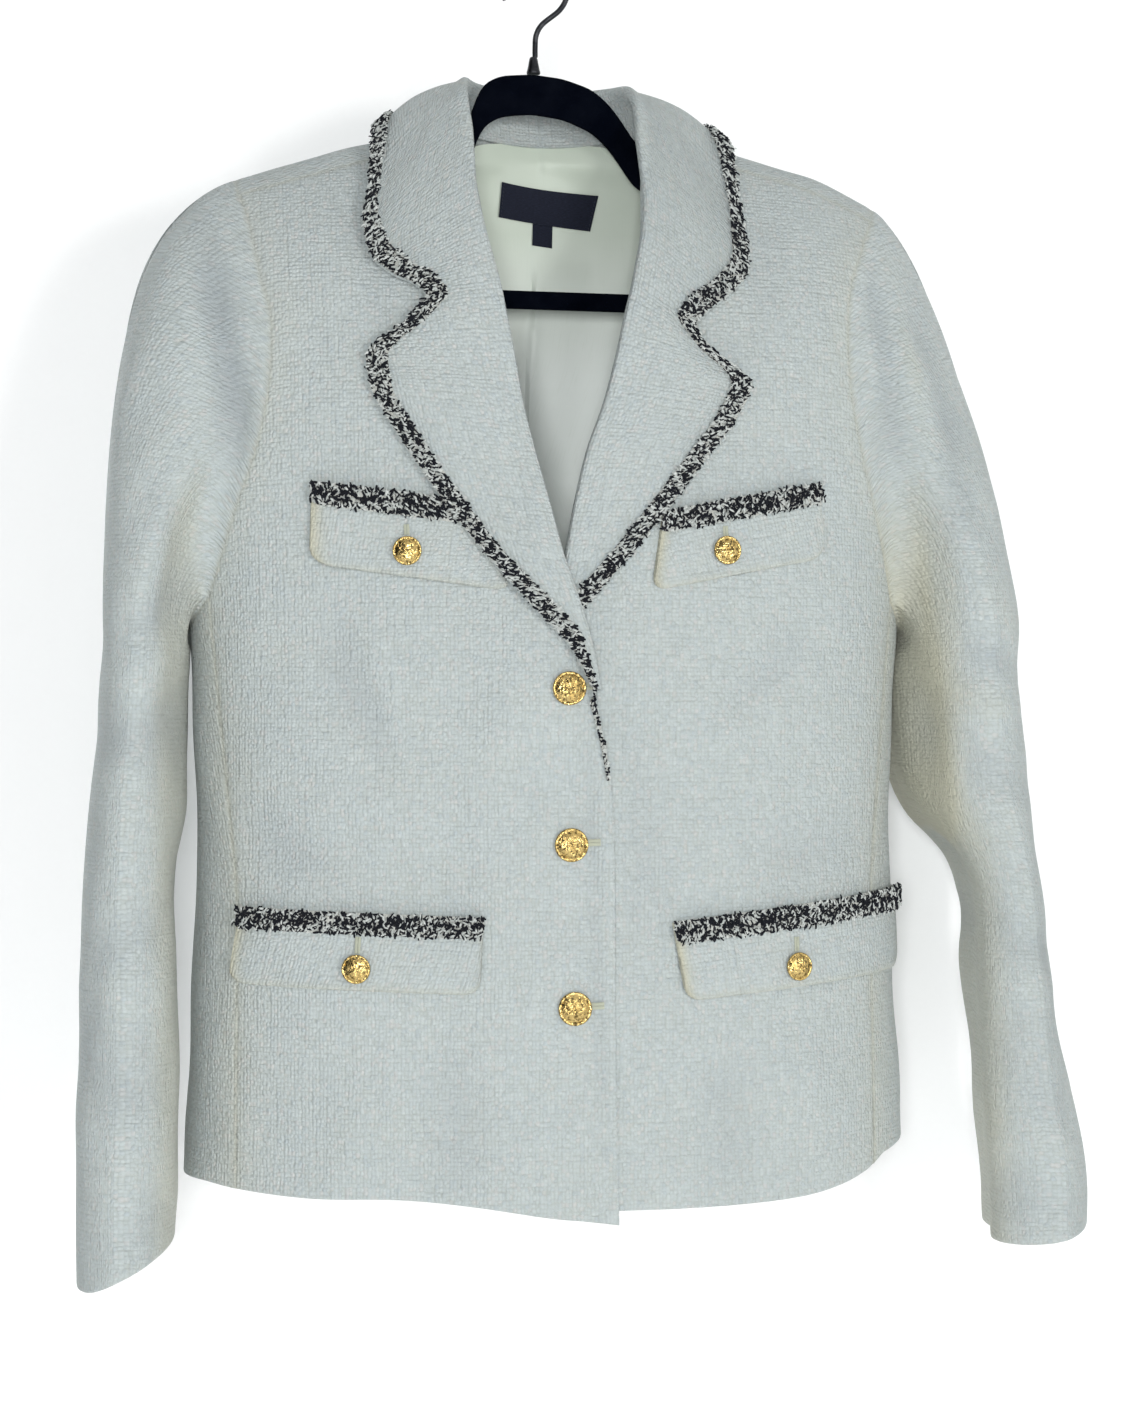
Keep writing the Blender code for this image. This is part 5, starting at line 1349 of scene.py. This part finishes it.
class Shader:
    """Nodes made by short calls. Inputs are sockets or plain values."""

    def __init__(self, made):
        self.made = made
        made.use_nodes = True
        self.nodes, self.links = made.node_tree.nodes, made.node_tree.links

    def add(self, kind, settings, output, *inputs):
        """A node with settings {attribute: value} and its inputs in pairs of name and value."""
        node = self.nodes.new("ShaderNode" + kind)
        for key, value in settings.items():
            setattr(node, key, value)
        for key, value in inputs:
            if isinstance(value, bpy.types.NodeSocket):
                self.links.new(value, node.inputs[key])
            else:
                node.inputs[key].default_value = value
        return node.outputs[output]

    def sum(self, operation, a, b=0.0, c=0.0):
        return self.add("Math", {"operation": operation}, 0, (0, a), (1, b), (2, c))

    def scaled(self, vector, x, y):
        return self.add("Mapping", {}, 0, (0, vector), ("Scale", (x, y, 1.0)))

    def noise(self, vector, scale, detail=3.0, rough=0.55, output=0):
        fine = (("Scale", scale), ("Detail", detail), ("Roughness", rough))
        return self.add("TexNoise", {}, output, ("Vector", vector), *fine)

    def nubs(self, vector, randomness, output):
        cells = (("Scale", 1.0), ("Randomness", randomness))
        return self.add("TexVoronoi", {}, output, ("Vector", vector), *cells)

    def span(self, value, low, high, to_low=0.0, to_high=1.0):
        return self.add("MapRange", {}, 0, (0, value), (1, low), (2, high), (3, to_low), (4, to_high))

    def mix(self, share, a, b):
        """A colour between a and b."""
        return self.add("Mix", {"data_type": "RGBA"}, 2, (0, share), (6, self.full(a)), (7, self.full(b)))

    def full(self, colour):
        """A colour's socket, or its plain value made opaque."""
        return colour if isinstance(colour, bpy.types.NodeSocket) else (*colour, 1.0)

    def tinted(self, colour, value, low, high, share, other):
        """The colour, going over to another by at most a share as the value runs from low to high."""
        return self.mix(self.span(value, low, high, 0.0, share), colour, other)

    def ramp(self, value, *stops):
        """A colour read from stops of a place and its colour."""
        colour = self.add("ValToRGB", {}, 0, (0, value))
        for element, (place, shown) in zip(colour.node.color_ramp.elements, stops):
            element.position, element.color = place, (*shown, 1.0)
        return colour

    def nudge(self, vector, amount, scale):
        """The vector wandering by amount."""
        wander = self.noise(vector, scale, 2.0, 0.5, 1)
        moved = self.add("VectorMath", {"operation": "SUBTRACT"}, 0, (0, wander), (1, (0.5, 0.5, 0.5)))
        moved = self.add("VectorMath", {"operation": "SCALE"}, 0, (0, moved), ("Scale", amount))
        return self.add("VectorMath", {"operation": "ADD"}, 0, (0, vector), (1, moved))


class Skin(Shader):
    """A material on its principled surface, whose inputs are given by name."""

    def __init__(self, name, **values):
        super().__init__(bpy.data.materials.new(name))
        self.surface = self.nodes["Principled BSDF"]
        for key, value in values.items():
            self.surface.inputs[key.replace("_", " ")].default_value = value

    def weave(self):
        return self.add("UVMap", {"uv_map": "weave"}, 0)

    def space(self):
        return self.add("TexCoord", {}, "Object")

    def kept(self, name):
        """A value kept at the mesh's points."""
        return self.add("Attribute", {"attribute_name": name}, "Fac")

    def ribs(self, direction, scale, distortion):
        lines = (("Vector", self.weave()), ("Scale", scale), ("Distortion", distortion))
        return self.add("TexWave", {"bands_direction": direction}, 1, *lines)

    def finish(self, colour, height, depth, strength, rough=None):
        """The material with its colour and its relief, depth in metres, and how rough it is."""
        relief = (("Strength", strength), ("Distance", depth), ("Height", height))
        self.links.new(colour, self.surface.inputs["Base Color"])
        self.links.new(self.add("Bump", {}, 0, *relief), self.surface.inputs["Normal"])
        if rough is not None:
            self.links.new(rough, self.surface.inputs["Roughness"])
        return self.made


THREAD = 0.0021        # pitch of the tweed's threads, in metres
SLUB = 0.024           # length of its thicker and thinner stretches


def tweed(name, wear=0.0):
    """Ivory bouclé tweed: looped nubs on a loose plain weave, with painted shade that makes it yellower where
    it lies deep, darker in the weave's hollows and grey-blue in creases.
    """
    skin = Skin(name, Roughness=0.9, Sheen_Weight=0.1, Sheen_Roughness=0.5, Specular_IOR_Level=0.2)
    place = skin.nudge(skin.weave(), 0.0010, 150.0)
    threads = skin.scaled(place, 1 / THREAD, 1 / (THREAD * 1.15))
    near = skin.nubs(threads, 0.5, "Distance")
    nub = skin.nubs(threads, 0.5, "Color")
    upright = skin.noise(skin.scaled(place, 1 / THREAD, 1 / SLUB), 1.0, 2.0)
    level = skin.noise(skin.scaled(place, 1 / SLUB, 1 / 0.0023), 1.0, 2.0)
    curl = skin.noise(skin.nudge(place, 0.0006, 900.0), 1300.0, 2.0, 0.6)
    first = skin.add("SeparateColor", {}, 0, (0, nub))
    second = skin.add("SeparateColor", {}, 1, (0, nub))
    dome = skin.span(near, 0.1, 0.75, 1.0, 0.0)
    lines = skin.sum("ADD", skin.span(upright, 0.3, 0.7), skin.span(level, 0.3, 0.7))
    height = skin.sum("MULTIPLY_ADD", lines, 0.42, dome)
    height = skin.sum("MULTIPLY_ADD", curl, 0.5, height)
    height = skin.sum("MULTIPLY_ADD", first, 0.35, height)
    patch = skin.noise(place, 30.0, 3.0)
    # low: painted shade in the hollows between the threads
    low = skin.span(height, 0.75, 1.45, 1.0, 0.0)
    colour = skin.mix(skin.span(first, 0.0, 1.0), (0.440, 0.488, 0.492), (0.480, 0.525, 0.525))
    for value, start, full, share, other in (
        (second, 0.86, 0.92, 0.7, (0.52, 0.515, 0.505)),
        (second, 0.12, 0.06, 0.7, (0.41, 0.465, 0.49)),
        (patch, 0.4, 0.75, 0.2 + wear, (0.51, 0.525, 0.475)),
        (upright, 0.38, 0.66, 0.4, (0.385, 0.43, 0.44)),
        (level, 0.40, 0.66, 0.3, (0.395, 0.44, 0.44)),
        # painted shade, darker in the weave's hollows
        (low, 0.0, 1.0, 0.4, (0.33, 0.35, 0.315)),
        # painted shade, yellow-olive where the cloth lies deep
        (skin.kept("shade_and_yellowing"), 0.0, 1.0, 0.85, (0.47, 0.455, 0.345)),
        # painted shade, grey-blue in the troughs of creases
        (skin.kept("fold"), 0.0, 1.0, 0.7, (0.27, 0.30, 0.32)),
    ):
        colour = skin.tinted(colour, value, start, full, share, other)
    return skin.finish(colour, height, 0.0010, 0.85)


def satin():
    """Cream satin with a fine twill, small slubs, a soft gloss, a yellowed band at the neck and painted shade
    that greys it towards the top, under the collar.
    """
    skin = Skin("cream_satin", Roughness=0.34, Sheen_Weight=0.1, Specular_IOR_Level=0.45)
    place = skin.weave()
    twill = skin.ribs("DIAGONAL", 620.0, 0.4)
    slub = skin.noise(skin.scaled(place, 900.0, 45.0), 1.0, 2.0)
    cloudy = skin.noise(place, 22.0, 3.0)
    height = skin.sum("MULTIPLY_ADD", slub, 0.8, twill)
    colour = skin.mix(cloudy, (0.85, 0.91, 0.86), (0.91, 0.95, 0.92))
    colour = skin.tinted(colour, slub, 0.55, 0.8, 0.3, (0.70, 0.76, 0.68))
    colour = skin.tinted(colour, skin.kept("shade_and_yellowing"), 0.0, 1.0, 0.8, (0.74, 0.70, 0.47))
    # painted shade: greyer towards the top, in the shade of the collar
    high = skin.add("SeparateXYZ", {}, 2, (0, skin.space()))
    colour = skin.tinted(colour, high, -0.25, -0.16, 1.0, (0.50, 0.56, 0.48))
    return skin.finish(colour, height, 0.00012, 0.5, skin.span(slub, 0.2, 0.8, 0.3, 0.48))


def tufts():
    """Braid yarn, black or cream by each strand's tone, with fine twisted fibres."""
    sheen = {"Sheen_Weight": 0.03, "Sheen_Roughness": 0.5}
    skin = Skin("braid_yarn", Roughness=0.88, Specular_IOR_Level=0.12, **sheen)
    fibre = skin.noise(skin.space(), 3800.0, 2.0)
    broad = skin.noise(skin.space(), 420.0, 2.0)
    cream = skin.mix(skin.span(broad, 0.35, 0.7), (0.44, 0.47, 0.455), (0.60, 0.62, 0.60))
    black = skin.mix(fibre, (0.003, 0.0035, 0.006), (0.014, 0.016, 0.022))
    colour = skin.mix(skin.span(skin.kept("tone"), 0.3, 0.7), cream, black)
    return skin.finish(colour, fibre, 0.0003, 0.8)


def braid_ground():
    """The flat braid under its tufts: a close dark and cream basket weave."""
    skin = Skin("braid_ground", Roughness=0.9)
    place = skin.scaled(skin.weave(), 1 / 0.0014, 1 / 0.0014)
    near = skin.nubs(place, 0.7, "Distance")
    split = skin.add("SeparateColor", {}, 0, (0, skin.nubs(place, 0.7, "Color")))
    colour = skin.mix(skin.span(split, 0.52, 0.6), (0.46, 0.47, 0.44), (0.014, 0.014, 0.018))
    return skin.finish(colour, skin.span(near, 0.0, 0.7, 1.0, 0.0), 0.0008, 0.8)


def label_cloth():
    """Navy damask slip with fine cross ribs and paler flecks."""
    skin = Skin("navy_damask", Roughness=0.6, Sheen_Weight=0.04, Specular_IOR_Level=0.2)
    ribs = skin.ribs("Y", 900.0, 0.6)
    fleck = skin.noise(skin.scaled(skin.weave(), 500.0, 2600.0), 1.0, 2.0)
    colour = skin.mix(skin.span(fleck, 0.35, 0.75), (0.0045, 0.006, 0.014), (0.011, 0.015, 0.032))
    return skin.finish(colour, skin.sum("MULTIPLY_ADD", fleck, 0.7, ribs), 0.00015, 0.7)


def yarn(name, dark, light):
    """Plain sewing yarn with twisted plies."""
    skin = Skin(name, Roughness=0.7, Sheen_Weight=0.1)
    ply = skin.noise(skin.space(), 2600.0, 2.0)
    return skin.finish(skin.mix(ply, dark, light), ply, 0.0002, 0.7)


def gilt():
    """Old gold plate: bright on the crests, a little browner and duller in patches."""
    skin = Skin("old_gilt", Metallic=1.0, Roughness=0.25)
    worn = skin.noise(skin.space(), 300.0, 4.0, 0.6)
    chased = skin.noise(skin.nudge(skin.space(), 0.0012, 500.0), 620.0, 2.0, 0.5)
    colour = skin.mix(skin.span(worn, 0.35, 0.7), (0.66, 0.49, 0.20), (0.46, 0.32, 0.11))
    colour = skin.tinted(colour, chased, 0.47, 0.38, 0.85, (0.065, 0.042, 0.015))
    return skin.finish(colour, chased, 0.0011, 0.8, skin.span(worn, 0.3, 0.75, 0.16, 0.34))


def velvet():
    """Black flocking with a short nap that catches light at its edges."""
    sheen = {"Sheen_Weight": 0.03, "Sheen_Roughness": 0.3, "Sheen_Tint": (0.22, 0.22, 0.24, 1.0)}
    skin = Skin("black_flock", Roughness=0.95, Specular_IOR_Level=0.02, **sheen)
    nap = skin.noise(skin.space(), 2600.0, 3.0, 0.7)
    brushed = skin.noise(skin.space(), 60.0, 3.0)
    colour = skin.mix(skin.span(brushed, 0.35, 0.7), (0.0008, 0.0015, 0.004), (0.0025, 0.0035, 0.007))
    return skin.finish(colour, nap, 0.0005, 0.8)


def dark_wire():
    """Blackened drawn wire with faint die lines and rubbed patches."""
    skin = Skin("dark_wire", Metallic=1.0, Roughness=0.36)
    rubbed = skin.noise(skin.space(), 180.0, 4.0)
    drawn = skin.noise(skin.space(), 3200.0, 2.0)
    colour = skin.mix(skin.span(rubbed, 0.4, 0.7), (0.025, 0.026, 0.030), (0.07, 0.072, 0.078))
    return skin.finish(colour, drawn, 0.00008, 0.5, skin.span(rubbed, 0.3, 0.7, 0.3, 0.46))


def plain_wall():
    """White painted backdrop with the faintest tooth, which shows only from its front."""
    glow = {"Emission_Color": (1, 1, 1, 1), "Emission_Strength": 0.04}
    skin = Skin("white_backdrop", Roughness=0.95, Specular_IOR_Level=0.0, **glow)
    tooth = skin.noise(skin.space(), 300.0, 2.0)
    skin.finish(skin.mix(tooth, (0.93, 0.93, 0.93), (0.95, 0.95, 0.95)), tooth, 0.0001, 0.05)
    clear = skin.add("BsdfTransparent", {}, 0)
    behind = skin.add("NewGeometry", {}, "Backfacing")
    unseen = skin.sum("MAXIMUM", behind, skin.add("LightPath", {}, "Is Shadow Ray"))
    shown = skin.add("MixShader", {}, 0, (0, unseen), (1, skin.surface.outputs[0]), (2, clear))
    skin.links.new(shown, skin.nodes["Material Output"].inputs[0])
    return skin.made


# Making the pieces

def dressed(piece, material, slot, *nodes):
    """Give a piece its material, hide the CAD solids that it stands for and hang it from the root."""
    piece.data.materials.clear()
    piece.data.materials.append(material)
    if nodes:
        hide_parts(*nodes)
    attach(piece, "root")
    return piece


def braided(name, spots, ups, cord, seed, covered=None):
    """Both layers of a braid: its strip, and its tufts, which stand for the CAD solid."""
    dressed(braid_strip(name + "_ground", spots, ups), GROUND, "braid")
    tufted = braid_tufts(name + "_tufts", spots + ups * TUFT_LIFT, ups, cord, seed, covered)
    dressed(tufted, YARN, "braid", name)


CLOTH = tweed("ivory_tweed")
TRIM_CLOTH = tweed("ivory_tweed_flaps", 0.15)
YARN = tufts()
GROUND = braid_ground()
GILT = gilt()

HANGER, FRONT, BACK = ["hanger_velvet"], ["front_cloth_{}"], ["back_cloth"]
SHEETS = {  # flat width and length of the cut, its area, and what it hangs from on its own side
    "front_cloth_right": (0.245, 0.642, 0.117, HANGER),
    "front_cloth_left": (0.25, 0.632, 0.12, HANGER),
    "side_cloth_right": (0.124, 0.34, 0.0325, FRONT + BACK),
    "side_cloth_left": (0.122, 0.334, 0.0312, FRONT + BACK),
    "back_cloth": (0.444, 0.654, 0.238, HANGER),
    "lining_satin": (0.41, 0.582, 0.2, BACK),
    "sleeve_cloth_right": (0.38, 0.63, 0.158, FRONT + BACK),
    "sleeve_cloth_left": (0.37, 0.625, 0.157, FRONT + BACK),
    "collar_cloth_right": (0.118, 0.478, 0.0333, FRONT + BACK),
    "collar_cloth_left": (0.114, 0.472, 0.0315, FRONT + BACK),
    "chest_flap_right_cloth": (0.09, 0.053, 0.004, FRONT),
    "chest_flap_left_cloth": (0.112, 0.048, 0.0046, FRONT),
    "pocket_flap_right_cloth": (0.15, 0.045, 0.0066, FRONT),
    "pocket_flap_left_cloth": (0.176, 0.049, 0.0084, FRONT),
    "label_cloth": (0.06, 0.022, 0.00124, ["lining_satin"]),
    "size_tab_cloth": (0.0122, 0.0146, 0.00017, ["lining_satin"]),
}

panels = []
for side in ("right", "left"):
    panels.append(dressed(front(side), CLOTH, "tweed", "front_" + side))
    panels.append(dressed(side_panel(side), CLOTH, "tweed", "side_panel_" + side))
    panels.append(dressed(sleeve_wall(side), CLOTH, "tweed", "sleeve_" + side))
    piece, base, normals = collar(side)
    panels.append(dressed(piece, CLOTH, "tweed", "collar_" + side))
    seed, covered = side_of(side, (11, None), (12, under_front))
    braided("braid_collar_" + side, *collar_braid(side, base, normals), 0.0, seed, covered)
panels.append(dressed(back(), CLOTH, "tweed", "back"))
panels.append(dressed(back_lining(), satin(), "lining", "back_lining"))

for number, name in enumerate(FLAPS):
    panels.append(dressed(flap(name), TRIM_CLOTH, "tweed", name))
    kind, _, side = name.split("_")
    along = np.linspace(0, 1, int(math.dist(*FLAPS[name][:2]) / BRAID_PITCH))
    deep, along = np.meshgrid(np.linspace(BRAID_START, BRAID_SHARE, BRAID_COLUMNS), along)
    spots = flap_point(name, along, deep, np.full(along.shape, FLAP_LIFT))
    covered = below_lapel(side) if kind == "chest" else None
    braided(f"braid_{kind}_{side}", spots, outward(spots), 0.4, 21 + number, covered)

for number, spot in enumerate(FRONT_BUTTONS, 1):
    made = button(f"front_button_{number}_gilt", "right", spot, FRONT_BUTTON_RADIUS, FRONT_BUTTON_LIFT)
    dressed(made, GILT, "gold", f"front_button_{number}")
for number, spot in enumerate(FLAP_BUTTONS, 1):
    side = "right" if spot[0] < 0 else "left"
    lift = FLAP_LIFT + FLAP_BUTTON_LIFT
    made = button(f"flap_button_{number}_gilt", side, spot, FLAP_BUTTON_RADIUS, lift)
    dressed(made, GILT, "gold", f"flap_button_{number}")

HOLES = [  # name, side, start and end of each worked buttonhole
    ("chest_right", "right", (-84.5, -346), (-84.2, -352)),
    ("chest_left", "left", (97.5, -345), (97.8, -351)),
    ("pocket_right", "right", (-111, -577), (-111.6, -586.5)),
    ("pocket_left", "left", (140.5, -581), (140.6, -589.5)),
    ("front_1", "right", (14, -437), (22, -436.6)),
    ("front_2", "right", (16, -525), (24, -524.7)),
    ("front_3", "right", (18, -617), (26, -616.8)),
]
CREAM_YARN = yarn("cream_yarn", (0.40, 0.42, 0.33), (0.52, 0.54, 0.45))
DARK_YARN = yarn("navy_yarn", (0.006, 0.008, 0.018), (0.02, 0.025, 0.045))
for number, (name, side, start, end) in enumerate(HOLES):
    length, lift = (2.0, 0.2) if name.startswith("front") else (1.6, FLAP_LIFT + 0.2)
    places = thread_bar(side, start, end, length, lift, 31 + number)
    dressed(strands("buttonhole_" + name, places, [0.0] * len(places)), CREAM_YARN, "tweed")

lining_lift = -TWEED - LINING_GAP - SATIN
slips = label_cloth()
panels.append(dressed(slip("label_cloth", LABEL, lining_lift - 1.4, 1.0), slips, "label", "label"))
tab = slip("size_tab_cloth", SIZE_TAB, lining_lift - 1.0, 0.2)
panels.append(dressed(tab, slips, "label", "size_tab"))
places = label_stitches(lining_lift - 2.0)
dressed(strands("label_stitches", places, [1.0] * len(places)), DARK_YARN, "label")

FLOCK, WIRE = velvet(), dark_wire()
dressed(hanger_arms(), FLOCK, "velvet", "hanger_body")
bar = route_sweep("hanger_bar_velvet", curve(BAR_ROUTE, 160), BAR_DEPTH / 2, BAR_WALL / 2, 0.6, 20)
dressed(bar, FLOCK, "velvet", "hanger_bar")
wire = route_sweep("hanger_wire", hook_route(), WIRE_RADIUS, WIRE_RADIUS, 1.0, 16)
dressed(wire, WIRE, "hook", "hanger_hook")
dressed(ferrule(), WIRE, "hook", "hanger_ferrule")

for piece in panels:
    width, length, area, holders = SHEETS[piece.name]
    holders = [holder.format("left" if "left" in piece.name else "right") for holder in holders]


# Backdrop, camera and light

def slab(name, centre, size, normal):
    bm = bmesh.new()
    bmesh.ops.create_grid(bm, x_segments=8, y_segments=8, size=size)
    turn = Vector((0, 0, 1)).rotation_difference(Vector(normal)).to_matrix().to_4x4()
    bmesh.ops.transform(bm, matrix=Matrix.Translation(centre) @ turn, verts=bm.verts)
    made = finished(name, bm, closed=False)
    made.data.materials.append(WALL_PAINT)
    return made


TURN = math.radians(9)     # of the camera and the backdrop about the jacket
WALL_BEHIND = 0.118    # m from the rail to the backdrop
FLOOR = -1.35          # m, its height
WALL_PAINT = plain_wall()
FORWARD = Vector((math.sin(TURN), math.cos(TURN), 0))
slab("backdrop_wall", FORWARD * WALL_BEHIND + Vector((0, 0, -0.4)), 3.0, -FORWARD)
slab("backdrop_floor", Vector((0, -1.4, FLOOR)), 3.0, (0, 0, 1))

LENS_SHARE = 2500 / 1402   # focal length as a share of the frame's height
SENSOR = 36            # mm, height of the frame in the camera
CAMERA_PLACE = (-0.21856, -1.47902, -0.445)
scene = bpy.context.scene
lens = bpy.data.cameras.new("camera")
camera = bpy.data.objects.new("camera", lens)
scene.collection.objects.link(camera)
lens.sensor_fit = "VERTICAL"
lens.sensor_height = SENSOR
lens.lens = SENSOR * LENS_SHARE
camera.location = CAMERA_PLACE
camera.rotation_euler = (math.pi / 2, 0, -TURN)
scene.camera = camera

world = bpy.data.worlds.new("soft_room")
sky = Shader(world)
slope = sky.add(
    "VectorMath", {"operation": "DOT_PRODUCT"}, "Value",
    (0, sky.add("TexCoord", {}, "Generated")), (1, (0.8, -0.35, 0.35)),
)
slope = sky.span(slope, -0.9, 0.9)
soft = sky.ramp(slope, (0.0, (0.36, 0.375, 0.39)), (1.0, (0.46, 0.465, 0.46)))
polish = sky.ramp(slope, (0.34, (0.02, 0.02, 0.025)), (0.66, (0.95, 0.95, 0.93)))
shown = sky.mix(sky.add("LightPath", {}, "Is Glossy Ray"), soft, polish)
shown = sky.mix(sky.add("LightPath", {}, "Is Camera Ray"), shown, (1, 1, 1))
sky.links.new(shown, sky.nodes["Background"].inputs[0])
scene.world = world
scene.view_settings.view_transform = "Standard"

LIGHTS = [  # name, place, aim, width, watts, colour
    ("key", (1.45, -3.6, -0.40), (0.0, 0.0, -0.38), 0.7, 48.0, (1.0, 0.995, 0.98)),
    ("front", (-0.42, -2.15, -0.38), (0.0, 0.0, -0.38), 0.4, 22.0, (0.985, 0.995, 1.0)),
    ("back", (-0.7, 2.3, 0.3), (0.0, 0.0, -0.40), 1.2, 30.0, (1.0, 0.995, 0.98)),
]
for name, place, aim, width, watts, colour in LIGHTS:
    lamp = bpy.data.lights.new(name, "AREA")
    lamp.size, lamp.energy, lamp.color = width, watts, colour
    held = bpy.data.objects.new(name, lamp)
    held.location = place
    held.rotation_euler = (Vector(aim) - Vector(place)).to_track_quat("-Z", "Y").to_euler()
    scene.collection.objects.link(held)
